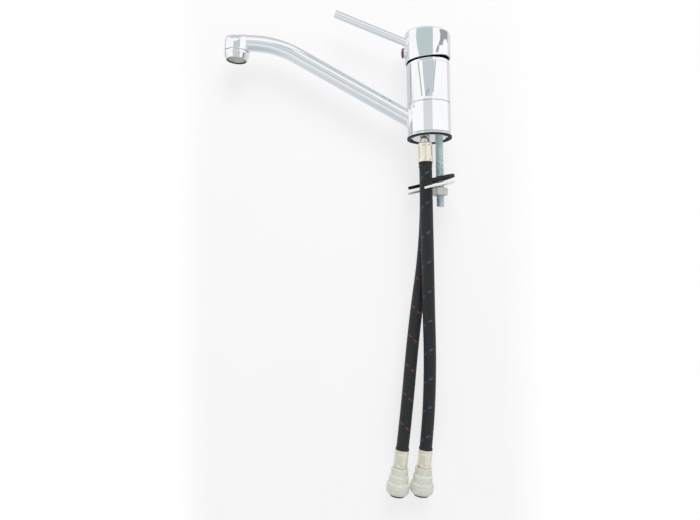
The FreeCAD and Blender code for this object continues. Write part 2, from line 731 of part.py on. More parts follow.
def make_handle_cap():
    """Cast cap: rocker-shaped rim, sloping top, inner hub with webs and the lever's boss."""
    room = CAP_R
    shell = rod(CAP_R, CAP_SIDE_Z - room, CAP_TOP_Z + room)
    shell = shell.cut(half_space_above(CAP_TOP_Z, -CAP_TOP_TILT))
    rim = [e for e in shell.Edges if e.BoundBox.ZMin > CAP_TOP_Z - room / 2 and e.BoundBox.XLength > CAP_R]
    shell = shell.makeFillet(CAP_EDGE_R, rim)
    inner_top = half_space_above(CAP_TOP_Z - CAP_TOP_T, -CAP_TOP_TILT)
    cavity = rod(CAP_R - CAP_WALL, CAP_SIDE_Z - 2 * room, CAP_TOP_Z + room).cut(inner_top)
    inside = rod(CAP_R - CAP_WALL / 2, HUB_Z, CAP_TOP_Z + room).cut(inner_top)
    hub = rod(HUB_R, HUB_Z, CAP_TOP_Z)
    webs = []
    for i in range(4):
        web = block(0, CAP_R, -WEB_T / 2, WEB_T / 2, HUB_Z + 4, CAP_TOP_Z)
        web.rotate(ORIGIN, UP, 45 + 90 * i)
        webs.append(web)
    root, direction = lever_axis()
    boss_end = root - direction * (LEVER_SEAT + LEVER_STUD_L + 1)
    boss = bar(LEVER_R + BOSS_WALL, root, boss_end)
    ribs = joined([hub, boss] + webs).common(inside)
    cap = joined([shell.cut(cavity), ribs])
    cap = cap.common(rocker_tool())
    cap = cap.cut(bar(LEVER_R, root + direction * CAP_R, root - direction * LEVER_SEAT))
    cap = cap.cut(bar(LEVER_STUD_R, root, root - direction * (LEVER_SEAT + LEVER_STUD_L)))
    half = STEM_SIDE / 2
    cap = cap.cut(block(-half, half, -half, half, HUB_Z - 1, SPINDLE_TOP_Z))
    cap = cap.cut(bar(INDEX_STEM_R, vec(-CAP_R - 1, 0, INDEX_Z), vec(-CAP_R + CAP_WALL * 2, 0, INDEX_Z)))
    cap = cap.cut(bar(GRUB_R, vec(-HUB_R - 1, 0, INDEX_Z), vec(0, 0, INDEX_Z)))
    return cap.removeSplitter()


def rocker_tool():
    """Big drum across the lever whose underside cuts the rim, tipped low towards the lever."""
    drum = Part.makeCylinder(CAP_ROCKER_R, 4 * CAP_R, vec(0, -2 * CAP_R, CAP_SIDE_Z + CAP_ROCKER_R), Y_AXIS)
    drum.rotate(vec(0, 0, CAP_SIDE_Z), Y_AXIS, -CAP_RIM_TILT)
    return drum


def make_lever_rod():
    """Plain round lever with a short threaded end in the cap."""
    root, direction = lever_axis()
    start = root - direction * LEVER_SEAT
    lever = bar(LEVER_R, start, root + direction * LEVER_L)
    tip = [e for e in lever.Edges if isinstance(e.Curve, Part.Circle) and e.Curve.Center.x < -CAP_R]
    lever = lever.makeFillet(LEVER_EDGE_R, tip)
    return lever.fuse(bar(LEVER_STUD_R, start, start - direction * (LEVER_STUD_L - 0.4)))


def make_index_button():
    """Domed plug under the lever, over the screw that holds the handle."""
    top = CAP_R + INDEX_PROUD + INDEX_DOME
    dome_r = (INDEX_R ** 2 + INDEX_DOME ** 2) / (2 * INDEX_DOME)
    dome = Part.makeSphere(dome_r, vec(0, 0, top - dome_r))
    head = rod(INDEX_R, CAP_R - 2, top).common(dome)
    wall = bar(CAP_R, vec(-CAP_R, 0, 0), vec(CAP_R, 0, 0))
    stem = rod(INDEX_STEM_R, CAP_R - CAP_WALL - 0.8, CAP_R + 0.2)
    button = joined([head.cut(wall), stem])
    button.rotate(ORIGIN, Y_AXIS, -90)
    button.translate(vec(0, 0, INDEX_Z))
    return button


def make_grub_screw():
    """Set screw from the hub onto the spindle, with a hexagon socket."""
    start = STEM_SIDE / 2
    screw = rod(GRUB_R, start, start + GRUB_L)
    socket = hexagon(GRUB_SOCKET, start + GRUB_L - 2.0, start + GRUB_L + 0.5)
    screw = screw.cut(socket)
    screw.rotate(ORIGIN, Y_AXIS, -90)
    screw.translate(vec(0, 0, INDEX_Z))
    return screw


# Fixing stud, clamp and nut

def make_fixing_stud():
    """M8 stud; its thread is plain here."""
    top = SOLE_LIFT + STUD_HOLE_L - 0.5
    stud = rod(STUD_R, STUD_END_Z, top, STUD_X)
    ends = circles_at(stud, STUD_END_Z, STUD_R) + circles_at(stud, top, STUD_R)
    return stud.makeChamfer(0.7, ends)


def clamp_leaf(thickness, middle_z, hole_r):
    """Horseshoe leaf round the tails, hung on the stud, tipped and turned as it hangs."""
    half = thickness / 2
    middle_x = -STUD_X - CLAMP_SHIFT
    leaf = rod(CLAMP_R, -half, half, middle_x)
    notch = block(middle_x - 2 * CLAMP_R, CLAMP_NOTCH_EDGE, -CLAMP_NOTCH_HALF, CLAMP_NOTCH_HALF,
                  -half, half)
    corner = [e for e in notch.Edges if e.BoundBox.ZLength > half and e.BoundBox.XMin > -CLAMP_R]
    leaf = leaf.cut(notch.makeFillet(CLAMP_NOSE_R / 2, corner))
    leaf = leaf.fuse(rod(CLAMP_NOSE_R, -half, half))
    leaf = leaf.cut(rod(hole_r, -half, half)).removeSplitter()
    leaf.rotate(ORIGIN, Y_AXIS, -CLAMP_TILT)
    leaf.rotate(ORIGIN, UP, CLAMP_TURN)
    leaf.translate(vec(STUD_X, 0, middle_z))
    return leaf


def make_clamp_plate():
    return clamp_leaf(PLATE_T, CLAMP_Z, CLAMP_HOLE_R)


def make_clamp_rubber():
    """Rubber leaf, held by the thread a little above the plate."""
    apart = (PLATE_T / 2 + RUBBER_LIFT + RUBBER_T / 2) / math.cos(math.radians(CLAMP_TILT))
    return clamp_leaf(RUBBER_T, CLAMP_Z + apart, RUBBER_HOLE_R)


def make_clamp_nut():
    top = CLAMP_Z - NUT_DROP
    nut = hexagon(NUT_ACROSS, top - NUT_H, top)
    nut = nut.cut(rod(STUD_R + FIT, top - NUT_H, top))
    nut.translate(vec(STUD_X, 0, 0))
    return nut


# Tails

def barbed_tube(length, start_s):
    """Outline points of a barbed tube along -Z, from its free end back to start_s."""
    pitch = length / (BARB_RIBS + 1)
    points = []
    for i in range(BARB_RIBS):
        s = start_s + length - pitch * i
        points.append((HOSE_BORE_R - BARB_RIB, -s))
        points.append((HOSE_BORE_R, -s + pitch * 0.8))
        points.append((HOSE_BORE_R - BARB_RIB, -s + pitch * 0.8))
    return points


def make_tail_nipple():
    """Threaded end, O-ring groove, bright neck and barb, about its own axis from the sole."""
    top = SOLE_LIFT + TAIL_THREAD_L - 0.6
    groove_top = top - 1.2
    groove_low = groove_top - TAIL_RING_W
    groove_r = TAIL_RING_R - 1.0
    neck_end = FERRULE_TOP_Z - FERRULE_END_T
    outline = [(WATERWAY_R, top), (TAIL_RING_R, top), (TAIL_RING_R, groove_top),
               (groove_r, groove_top), (groove_r, groove_low), (TAIL_THREAD_R, groove_low),
               (TAIL_THREAD_R, SOLE_LIFT), (NECK_R, SOLE_LIFT), (NECK_R, neck_end),
               (HOSE_BORE_R - BARB_RIB, neck_end)]
    outline += list(reversed(barbed_tube(BARB_L, -neck_end)))
    outline.append((WATERWAY_R, neck_end - BARB_L))
    return turned(outline)


def make_tail_ring():
    top = SOLE_LIFT + TAIL_THREAD_L - 0.6 - 1.2
    return ring(TAIL_THREAD_R - FIT, TAIL_RING_R - 1.0, top - TAIL_RING_W, top)


def make_upper_ferrule():
    """Crimped sleeve, closed round the neck at its top."""
    low = FERRULE_TOP_Z - UPPER_FERRULE_L
    outline = [(NECK_R, FERRULE_TOP_Z), (FERRULE_R - 1.0, FERRULE_TOP_Z), (FERRULE_R, FERRULE_TOP_Z - 1.0),
               (FERRULE_R, low + 0.4), (FERRULE_R - 0.3, low), (HOSE_R, low),
               (HOSE_R, FERRULE_TOP_Z - FERRULE_END_T), (NECK_R, FERRULE_TOP_Z - FERRULE_END_T)]
    return turned(outline)


def tangent_path(points, name):
    """Straight runs joined by arcs that are as large as their two runs allow."""
    edges = []
    radii = []
    start = points[0]
    for before, here, after in zip(points, points[1:], points[2:]):
        run_in, run_out = here - before, after - here
        d_in, d_out = vec(*run_in).normalize(), vec(*run_out).normalize()
        turn = d_in.getAngle(d_out)
        tangent = 0.45 * min(run_in.Length, run_out.Length)
        radius = tangent / math.tan(turn / 2)
        radii.append(round(radius))
        inward = (d_out - d_in).normalize()
        middle = here + inward * (radius / math.cos(turn / 2) - radius)
        arc_start, arc_end = here - d_in * tangent, here + d_out * tangent
        edges.append(Part.LineSegment(start, arc_start).toShape())
        edges.append(Part.Arc(arc_start, middle, arc_end).toShape())
        start = arc_end
    edges.append(Part.LineSegment(start, points[-1]).toShape())
    print("arc radii of the", name, "tail:", radii)
    return Part.Wire(edges)


def make_hose(name):
    """Braided hose, a tube from inside one ferrule to inside the other."""
    points = [vec(*p) for p in ROUTES[name]]
    path = tangent_path(points, name)
    direction = points[1] - points[0]
    outer = path.makePipe(Part.Face(Part.Wire(Part.makeCircle(HOSE_R, points[0], direction))))
    bore = path.makePipe(Part.Face(Part.Wire(Part.makeCircle(HOSE_BORE_R, points[0], direction))))
    hose = outer.cut(bore)
    section = math.pi * (HOSE_R ** 2 - HOSE_BORE_R ** 2)
    print(name, "tail: length", round(path.Length, 1), "volume over section times length",
          round(hose.Volume / (section * path.Length), 4))
    return hose


def tail_end(name):
    """Point where the lower ferrule ends and the direction of the tail there."""
    last, before = vec(*ROUTES[name][-1]), vec(*ROUTES[name][-2])
    direction = (last - before).normalize()
    return last + direction * FERRULE_END_T, direction


def make_lower_ferrule():
    """Crimped sleeve above the connector, closed at s = 0, built along -Z."""
    outline = [(HOSE_R, LOWER_FERRULE_L), (FERRULE_R - 0.3, LOWER_FERRULE_L),
               (FERRULE_R, LOWER_FERRULE_L - 0.4),
               (FERRULE_R, 1.0), (FERRULE_R - 1.0, 0), (NECK_R, 0), (NECK_R, FERRULE_END_T),
               (HOSE_R, FERRULE_END_T)]
    return turned(outline)


def make_connector_barb():
    """Barb of the connector: in the hose above, in the moulded body below."""
    ribs = [(r, -z) for r, z in barbed_tube(BARB_L, FERRULE_END_T)]
    outline = [(WATERWAY_R, FERRULE_END_T + BARB_L)] + ribs
    outline += [(HOSE_BORE_R - BARB_RIB, FERRULE_END_T), (NECK_R, FERRULE_END_T),
                (NECK_R, -PIPE_STOP_S + 1.5), (WATERWAY_R, -PIPE_STOP_S + 1.5)]
    return turned(outline)


def make_connector_body():
    """Moulded body in three steps, with the pipe seat and the seal's seat inside."""
    seat = PIPE_R + PIPE_PLAY
    outline = [(NECK_R, 0)]
    for radius, top, low in zip(STEP_R, (0.0,) + STEP_S, STEP_S):
        outline += [(radius - STEP_EDGE, -top), (radius, -top - STEP_EDGE), (radius, -low)]
    outline += [(SEAL_SEAT_R, -STEP_S[2]), (SEAL_SEAT_R, -SEAL_SEAT_S), (seat, -SEAL_SEAT_S),
               (seat, -PIPE_STOP_S), (WATERWAY_R, -PIPE_STOP_S), (WATERWAY_R, -PIPE_STOP_S + 1.5),
               (NECK_R, -PIPE_STOP_S + 1.5)]
    return turned(outline)


def make_connector_seal():
    """O-ring just clear of the pipe."""
    middle = (SEAL_SEAT_R + PIPE_R + PIPE_PLAY + 0.1) / 2
    half = SEAL_SEAT_R - middle
    return Part.makeTorus(middle, half, vec(0, 0, -SEAL_SEAT_S - half))


def make_grab_ring():
    """Thin steel ring with teeth that point inwards."""
    z0 = -STEP_S[2]
    inner = PIPE_R + PIPE_PLAY + 0.1
    grab = ring(SEAL_SEAT_R + 0.6, inner, z0 - GRAB_RING_T, z0)
    for i in range(10):
        slit = block(0, inner + 1.2, -0.3, 0.3, z0 - GRAB_RING_T, z0)
        slit.rotate(ORIGIN, UP, 36 * i)
        grab = grab.cut(slit)
    return grab


def make_connector_cap():
    """End cap with a ridge and a rounded-in mouth that guides the collet."""
    z0 = -STEP_S[2]
    guide = collet_outer_r() + FIT
    well = SEAL_SEAT_R + 0.6
    well_z = z0 - GRAB_RING_T
    room_z = -CAP_END_S + 2.4
    outline = [(well, z0), (RIDGE_R, z0), (RIDGE_R, z0 - RIDGE_W), (STEP_R[2], z0 - RIDGE_W - 0.3),
               (STEP_R[2], -CAP_END_S + CAP_ROUND),
               (STEP_R[2] - CAP_ROUND * 0.3, -CAP_END_S + CAP_ROUND * 0.3),
               (STEP_R[2] - CAP_ROUND, -CAP_END_S), (guide, -CAP_END_S), (guide, room_z),
               (well - 0.8, room_z), (well - 0.8, well_z), (well, well_z)]
    return turned(outline)


def collet_outer_r():
    return PIPE_R + PIPE_PLAY + COLLET_WALL


def make_collet():
    """Release ring: a sleeve with a foot inside the cap, standing out of the mouth."""
    inner = PIPE_R + PIPE_PLAY
    outer = collet_outer_r()
    end = -CAP_END_S - COLLET_OUT
    foot_top = end + COLLET_L
    foot_low = -CAP_END_S + 2.4 + FIT
    foot_r = SEAL_SEAT_R - 0.5
    outline = [(inner, foot_top), (foot_r, foot_top), (foot_r, foot_low), (outer, foot_low),
               (outer, end + 0.3), (outer - 0.3, end), (inner, end)]
    return turned(outline)


def save(name, shape):
    if not shape.isValid():
        print("not valid:", name)
    shape.exportStep("parts/" + name + ".step")
    print(name, "solids", len(shape.Solids), "volume", round(shape.Volume, 1))


def main():
    os.makedirs("parts", exist_ok=True)
    save("body_casting", make_body_casting())
    save("base_ring", make_base_ring())
    save("base_gasket", make_base_gasket())
    save("slide_ring_lower", make_slide_ring(SLEEVE_Z0, True))
    save("slide_ring_upper", make_slide_ring(SLEEVE_Z1, False))
    save("spout_seals", make_spout_seals())

    save("spout", make_spout())
    save("aerator_housing", make_aerator_housing())
    save("aerator_mesh", make_aerator_mesh())
    save("aerator_insert", make_aerator_insert())
    save("aerator_seal", make_aerator_seal())

    save("cartridge_base", make_cartridge_base())
    save("port_seals", make_port_seals())
    save("fixed_disc", make_fixed_disc())
    save("cartridge_housing", make_cartridge_housing())
    save("cartridge_nut", make_cartridge_nut())
    save("gap_collar", make_gap_collar())
    save("moving_disc", make_moving_disc())
    save("disc_carrier", make_disc_carrier())
    save("turret", make_turret())
    save("spindle_pin", make_spindle_pin())
    save("spindle", make_spindle())

    save("handle_cap", make_handle_cap())
    save("lever_rod", make_lever_rod())
    save("index_button", make_index_button())
    save("grub_screw", make_grub_screw())

    save("fixing_stud", make_fixing_stud())
    save("clamp_plate", make_clamp_plate())
    save("clamp_rubber", make_clamp_rubber())
    save("clamp_nut", make_clamp_nut())

    for name in ("cold", "hot"):
        port = vec(*ROUTES[name][0])
        for piece, make in (("tail_nipple", make_tail_nipple), ("tail_o_ring", make_tail_ring),
                            ("upper_ferrule", make_upper_ferrule)):
            shape = make()
            shape.translate(vec(port.x, port.y, 0))
            save(piece + "_" + name, shape)
        save("hose_" + name, make_hose(name))
        end, direction = tail_end(name)
        for piece, make in (("lower_ferrule", make_lower_ferrule), ("connector_barb", make_connector_barb),
                            ("connector_body", make_connector_body), ("connector_seal", make_connector_seal),
                            ("grab_ring", make_grab_ring), ("connector_cap", make_connector_cap),
                            ("collet", make_collet)):
            save(piece + "_" + name, placed(make(), end, direction))


if __name__ == "__main__":
    main()
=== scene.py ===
"""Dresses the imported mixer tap: plated skins, braided tails, crimped ferrules, threads, screen.

Lengths are millimetres in the dataclass fields and metres in the meshes, +Z up, spout towards
-X, cold tail on the -Y side. The tap lies on a pale sheet that stands behind it along +Y.
"""
import logging
import math
from dataclasses import dataclass, field, replace
from enum import Enum
from typing import Callable, Optional, Sequence

import bpy
import numpy as np
from mathutils import Matrix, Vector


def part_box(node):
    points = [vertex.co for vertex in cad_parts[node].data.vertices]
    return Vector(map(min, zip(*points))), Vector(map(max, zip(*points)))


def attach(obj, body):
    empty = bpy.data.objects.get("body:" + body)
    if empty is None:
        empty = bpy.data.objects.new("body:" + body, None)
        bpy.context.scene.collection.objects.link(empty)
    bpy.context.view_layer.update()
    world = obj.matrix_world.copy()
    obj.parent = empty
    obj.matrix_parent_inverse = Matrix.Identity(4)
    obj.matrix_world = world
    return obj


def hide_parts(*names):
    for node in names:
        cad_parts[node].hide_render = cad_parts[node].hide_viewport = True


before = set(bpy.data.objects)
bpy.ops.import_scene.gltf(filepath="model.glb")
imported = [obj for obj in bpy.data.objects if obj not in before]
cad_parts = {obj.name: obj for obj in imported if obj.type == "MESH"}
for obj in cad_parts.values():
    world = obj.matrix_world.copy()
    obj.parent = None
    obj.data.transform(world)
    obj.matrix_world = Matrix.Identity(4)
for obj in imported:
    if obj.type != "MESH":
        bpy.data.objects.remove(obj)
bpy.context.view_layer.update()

Array = np.ndarray
Socket = bpy.types.NodeSocket
MM = 0.001
TAU = 2 * math.pi
POLE = 0.02  # radius in millimetres of the cap where a surface meets its axis
LOG = logging.getLogger("mixer_tap")


# Numbers and arrays

def linear(red: float, green: float, blue: float) -> tuple[float, float, float, float]:
    """Linear colour of a display colour given in 0 to 255."""
    parts = (c / 255 for c in (red, green, blue))
    return (*(c / 12.92 if c <= 0.04045 else ((c + 0.055) / 1.055) ** 2.4 for c in parts), 1.0)


def around(count: int) -> Array:
    """Angles of one turn, without the last."""
    return np.arange(count) / count * TAU


def smooth(value: Array, low: float, high: float) -> Array:
    """Zero below low, one above high, an S between them."""
    t = np.clip((value - low) / (high - low), 0, 1)
    return t * t * (3 - 2 * t)


def unit(vectors: Array) -> Array:
    """Vectors at a length of one."""
    return vectors / np.linalg.norm(vectors, axis=-1, keepdims=True)


def run_along(line: Array) -> Array:
    """Length of a line up to each of its points."""
    return np.append(0, np.cumsum(np.linalg.norm(np.diff(line, axis=0), axis=1)))


def polar(radius: Array, angle: Array, height: Array) -> Array:
    """Points at a radius and an angle round Z, and at a height."""
    return np.stack([radius * np.cos(angle), radius * np.sin(angle), height + 0 * angle], -1)


def bezier(u: Array, start: Array, middle: Array, end: Array, weight: Array) -> Array:
    """Rational parabola from start to end, pulled to the middle point by its weight."""
    a, b, c = (1 - u) ** 2, 2 * weight * u * (1 - u), u ** 2
    return (a * start + b * middle + c * end) / (a + b + c)


def rounded(corners: Sequence[tuple], closed: bool = True, steps: int = 5) -> Array:
    """Outline with true arcs at its corners.

    Each corner P with an ease t is replaced by the arc that starts t before P and ends t after
    it, as the rational parabola with the middle weight cos(turn / 2).

    Args:
        corners: (radius, height) or (radius, height, ease).
        closed: whether the last corner joins the first.
        steps: spans in each arc.

    Returns:
        Array of (radius, height).
    """
    p = np.array([c[:2] for c in corners], float)
    ease = [c[2] if len(c) > 2 else 0.0 for c in corners]
    u = np.linspace(0, 1, steps + 1)[:, None]
    rows = []
    for k, here in enumerate(p):
        if not ease[k] or (not closed and k in (0, len(p) - 1)):
            rows.append(here[None])
            continue
        d_in, d_out = unit(here - p[k - 1]), unit(p[(k + 1) % len(p)] - here)
        weight = math.sqrt(max(0.0, (1 + float(d_in @ d_out)) / 2))
        rows.append(bezier(u, here - ease[k] * d_in, here, here + ease[k] * d_out, weight))
    return np.vstack(rows)


def turned(outline: Array, count: int = 128,
           shape: Optional[Callable[[Array, Array, Array], Array]] = None) -> Array:
    """Surface of revolution: outline point (r, z) at angle a goes to (r cos a, r sin a, z).

    Args:
        outline: rows of (radius, height).
        count: columns round the axis.
        shape: gives the radius from the grids of radius, height and angle.

    Returns:
        Grid of points.
    """
    angle = around(count)[None]
    radius = outline[:, :1] + 0 * angle
    height = outline[:, 1:] + 0 * angle
    if shape is not None:
        radius = shape(radius, height, angle + 0 * radius)
    return polar(radius, angle, height)


def moved(grid: Array, start: Array, direction: Array) -> Array:
    """Grid turned so that its -Z runs along a direction, then moved to a start point."""
    d = unit(direction)
    side = unit(np.cross(d, (0.0, 1.0, 0.0)))
    across = np.cross(-d, side)
    return grid[..., :1] * side + grid[..., 1:2] * across - grid[..., 2:] * d + start


def spun(grid: Array, degrees: float) -> Array:
    """Grid turned about Z."""
    c, s = math.cos(math.radians(degrees)), math.sin(math.radians(degrees))
    return np.stack([c * grid[..., 0] - s * grid[..., 1], s * grid[..., 0] + c * grid[..., 1],
                     grid[..., 2]], -1)


def inside_rows(grid: Array, rows: Array) -> Array:
    """Mark of one on the grid's inner rows and zero on the others."""
    return rows[:, None] + np.zeros(grid.shape[:2])


# Meshes

def add_object(name: str, data: bpy.types.ID) -> bpy.types.Object:
    """New object in the scene's collection."""
    made = bpy.data.objects.new(name, data)
    bpy.context.scene.collection.objects.link(made)
    return made


@dataclass
class Skin:
    """One piece's closed surfaces, gathered before they become a mesh."""

    name: str
    points: list = field(default_factory=list)
    loops: list = field(default_factory=list)
    sizes: list = field(default_factory=list)
    uv: list = field(default_factory=list)
    marks: dict = field(default_factory=dict)
    count: int = 0

    def add(self, grid: Array, ring: bool = False, along: Optional[Array] = None,
            **marks: Array) -> "Skin":
        """Adds the surface of a grid whose columns close round, facing outwards.

        Rows join the last to the first in a ring and are capped otherwise. Faces are turned
        where the enclosed volume, the sum of a.(b x c) / 6 over the triangles, is negative.

        Args:
            grid: points in millimetres, rows by columns by 3.
            ring: whether the rows close too.
            along: the V of each row, for a map whose U goes once round.
            marks: point values for the shader, one per grid point.

        Returns:
            The skin itself.
        """
        n, m, _ = grid.shape
        i, j = np.meshgrid(np.arange(n if ring else n - 1), np.arange(m), indexing="ij")
        i2, j2 = (i + 1) % n, (j + 1) % m
        quads = np.stack([i * m + j, i * m + j2, i2 * m + j2, i2 * m + j], -1).reshape(-1, 4)
        p = grid.reshape(-1, 3)
        caps = [] if ring else [np.arange(m)[::-1], (n - 1) * m + np.arange(m)]
        middle = p.mean(0)
        q = p[quads] - middle
        volume = np.einsum("ij,ij->", q[:, 0],
                           np.cross(q[:, 1], q[:, 2]) + np.cross(q[:, 2], q[:, 3]))
        for cap in caps:
            c = p[cap] - middle
            volume += np.einsum("ij,ij->", c[:1].repeat(m - 2, 0), np.cross(c[1:-1], c[2:]))
        v = np.zeros(n + 1) if along is None else np.append(along, along[-1])
        uv = np.stack([np.stack([a / m, v[b]], -1) for a, b in
                       ((j, i), (j + 1, i), (j + 1, i + 1), (j, i + 1))], 2).reshape(-1, 4, 2)
        if volume < 0:
            quads, uv, caps = quads[:, ::-1], uv[:, ::-1], [c[::-1] for c in caps]
        self.loops += [quads.ravel() + self.count] + [c + self.count for c in caps]
        self.sizes += [4] * len(quads) + [m] * len(caps)
        self.uv += [uv.reshape(-1, 2), np.zeros((m * len(caps), 2))]
        self.points.append(p)
        for key, value in marks.items():
            self.marks.setdefault(key, []).append(value.reshape(-1))
        self.count += n * m
        return self

    def build(self, finish: "Finish", body: str, *nodes: str, sharp: float = 38.0,
              weighted: bool = True, mapped: bool = False) -> bpy.types.Object:
        """Makes the mesh object, dresses it and hangs it on its body.

        Args:
            finish: what it is made of.
            body: the body it rides on.
            nodes: the solids that it stands for.
            sharp: edges that turn by more degrees stay crisp.
            weighted: whether large faces keep their normals beside small ones.
            mapped: whether the mesh carries its map.

        Returns:
            The object.
        """
        mesh = bpy.data.meshes.new(self.name)
        points = np.vstack(self.points) * MM
        loops = np.concatenate(self.loops)
        sizes = np.array(self.sizes)
        mesh.vertices.add(len(points))
        mesh.vertices.foreach_set("co", points.ravel())
        mesh.loops.add(len(loops))
        mesh.loops.foreach_set("vertex_index", loops)
        mesh.polygons.add(len(sizes))
        mesh.polygons.foreach_set("loop_start", np.append(0, np.cumsum(sizes)[:-1]))
        if mapped:
            layer = mesh.uv_layers.new(name="Map")
            layer.uv.foreach_set("vector", np.vstack(self.uv).ravel())
        for key, values in self.marks.items():
            mark = mesh.attributes.new(key, "FLOAT", "POINT")
            mark.data.foreach_set("value", np.concatenate(values).astype(np.float32))
        mesh.update(calc_edges=True)
        mesh.shade_smooth()
        mesh.set_sharp_from_angle(angle=math.radians(sharp))
        mesh.materials.append(finish.material())
        piece = add_object(self.name, mesh)
        if weighted:
            normals = piece.modifiers.new("Weighted normals", "WEIGHTED_NORMAL")
            normals.keep_sharp = True
        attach(piece, body)
        if nodes:
            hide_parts(*nodes)
        LOG.info("%s: %d faces on body %s, stands for %s", self.name, len(sizes), body,
                 ", ".join(nodes) or "no solid")
        return piece


# Shader wiring

class Wiring:
    """Adds and links nodes in one node tree."""

    def __init__(self, tree: bpy.types.NodeTree) -> None:
        """Keeps the tree."""
        self.tree = tree

    def node(self, kind: str, inputs: Optional[dict] = None, **settings: object) -> bpy.types.Node:
        """Adds a node.

        Args:
            kind: its type without the ShaderNode prefix.
            inputs: socket name or number to a value or an output socket.
            settings: properties of the node.

        Returns:
            The node.
        """
        made = self.tree.nodes.new("ShaderNode" + kind)
        for key, value in settings.items():
            setattr(made, key, value)
        for key, value in (inputs or {}).items():
            self.feed(made.inputs[key], value)
        return made

    def feed(self, socket: Socket, value: object) -> None:
        """Links an output socket into a socket, or writes a plain value there."""
        if isinstance(value, Socket):
            self.tree.links.new(value, socket)
        else:
            socket.default_value = value

    def math(self, kind: str, *values: object, clamp: bool = False) -> Socket:
        """Result of a Math node."""
        inputs = dict(enumerate(values))
        return self.node("Math", inputs, operation=kind, use_clamp=clamp).outputs[0]

    def mix(self, factor: object, first: object, second: object) -> Socket:
        """Colour between two colours."""
        return self.node("Mix", {0: factor, 6: first, 7: second}, data_type="RGBA").outputs[2]

    def blend(self, factor: object, first: object, second: object) -> Socket:
        """Shader between two shaders."""
        return self.node("MixShader", {0: factor, 1: first, 2: second}).outputs[0]

    def span(self, value: object, a: float, b: float, low: object = 0.0,
             high: object = 1.0) -> Socket:
        """Value mapped from the range a to b onto low to high."""
        return self.node("MapRange", {0: value, 1: a, 2: b, 3: low, 4: high}).outputs[0]

    def noise(self, vector: object, scale: object, detail: float = 2.0,
              roughness: float = 0.5) -> Socket:
        """Value of a Noise texture."""
        inputs = {"Vector": vector, "Scale": scale, "Detail": detail, "Roughness": roughness}
        return self.node("TexNoise", inputs).outputs[0]

    def mark(self, name: str) -> Socket:
        """Value of one of the mesh's own marks."""
        return self.node("Attribute", attribute_name=name).outputs["Fac"]


class Effect(Enum):
    """Shared surface effects, each one node group."""

    GRAIN = "Fine grain"
    WEAR_AND_HIGHLIGHT = "Edge wear and highlight"
    MARKS = "Water marks"

    def group(self) -> bpy.types.NodeTree:
        """The effect's node group, built when it is first asked for."""
        known = bpy.data.node_groups.get(self.value)
        if known is not None:
            return known
        tree = bpy.data.node_groups.new(self.value, "ShaderNodeTree")
        inputs, outputs, maker = {
            Effect.GRAIN: ((("Scale", 400.0), ("Low", 0.3), ("High", 0.4)), ("Value", "Raw"),
                           self.grain),
            Effect.WEAR_AND_HIGHLIGHT: ((("Scale", 300.0), ("Radius", 0.0004), ("Amount", 0.5)), ("Value",),
                          self.rub_and_highlight),
            Effect.MARKS: ((("Scale", 60.0), ("Amount", 0.3)), ("Value",), self.drops),
        }[self]
        tree.interface.new_socket("Vector", in_out="INPUT", socket_type="NodeSocketVector")
        for name, value in inputs:
            socket = tree.interface.new_socket(name, in_out="INPUT", socket_type="NodeSocketFloat")
            socket.default_value = value
        for name in outputs:
            tree.interface.new_socket(name, in_out="OUTPUT", socket_type="NodeSocketFloat")
        w = Wiring(tree)
        made = maker(w, tree.nodes.new("NodeGroupInput").outputs)
        result = tree.nodes.new("NodeGroupOutput").inputs
        for name, value in zip(outputs, made):
            w.feed(result[name], value)
        return tree

    @staticmethod
    def grain(w: Wiring, given: bpy.types.NodeOutputs) -> tuple:
        """Noise at two scales, mapped between Low and High, and as it is."""
        fine = w.noise(given["Vector"], given["Scale"], 5.0, 0.55)
        broad = w.noise(given["Vector"], w.math("MULTIPLY", given["Scale"], 0.13))
        raw = w.span(w.math("ADD", fine, broad), 0.7, 1.3)
        return w.span(raw, 0.0, 1.0, given["Low"], given["High"]), raw

    @staticmethod
    def rub_and_highlight(w: Wiring, given: bpy.types.NodeOutputs) -> tuple:
        """How far the rounded normal leaves the true one, broken up by noise: edge wear, and on
        grey plastic a painted edge highlight.
        """
        bent = w.node("Bevel", {"Radius": given["Radius"]}, samples=4).outputs[0]
        true = w.node("NewGeometry").outputs["Normal"]
        dot = w.node("VectorMath", {0: bent, 1: true}, operation="DOT_PRODUCT").outputs["Value"]
        noise = w.noise(given["Vector"], given["Scale"], 4.0)
        broken = w.math("MULTIPLY", w.span(dot, 0.995, 0.90), w.span(noise, 0.35, 0.7, 0.2))
        return (w.math("MULTIPLY", broken, given["Amount"], clamp=True),)

    @staticmethod
    def drops(w: Wiring, given: bpy.types.NodeOutputs) -> tuple:
        """Dried drops: rims of rounded cells, kept where a broad noise is high."""
        bent = w.node("TexNoise", {"Vector": given["Vector"], "Scale": given["Scale"]}).outputs[1]
        place = w.node("VectorMath", {0: given["Vector"], 1: bent}, operation="ADD").outputs[0]
        cells = w.node("TexVoronoi", {"Vector": place, "Scale": given["Scale"]}).outputs[0]
        off = w.math("MULTIPLY", w.math("SUBTRACT", cells, 0.22), 16.0)
        rim = w.math("SUBTRACT", 1.0, w.math("ABSOLUTE", off), clamp=True)
        broad = w.noise(given["Vector"], w.math("MULTIPLY", given["Scale"], 0.3))
        kept = w.math("MULTIPLY", rim, w.span(broad, 0.5, 0.65))
        return (w.math("MULTIPLY", kept, given["Amount"], clamp=True),)


class Slot(Enum):
    """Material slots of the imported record."""

    CHROME = "chrome"
    BRASS = "brass"
    STEEL = "steel"
    ZINC = "zinc_steel"
    NICKEL = "nickel"
    FERRULE = "ferrule"
    RUBBER = "black_rubber"
    BRAID = "braid"
    BLACK = "black_plastic"
    WHITE = "white_plastic"
    GREY = "grey_plastic"
    DARK = "dark_plastic"
    MAROON = "maroon"
    CERAMIC = "ceramic"


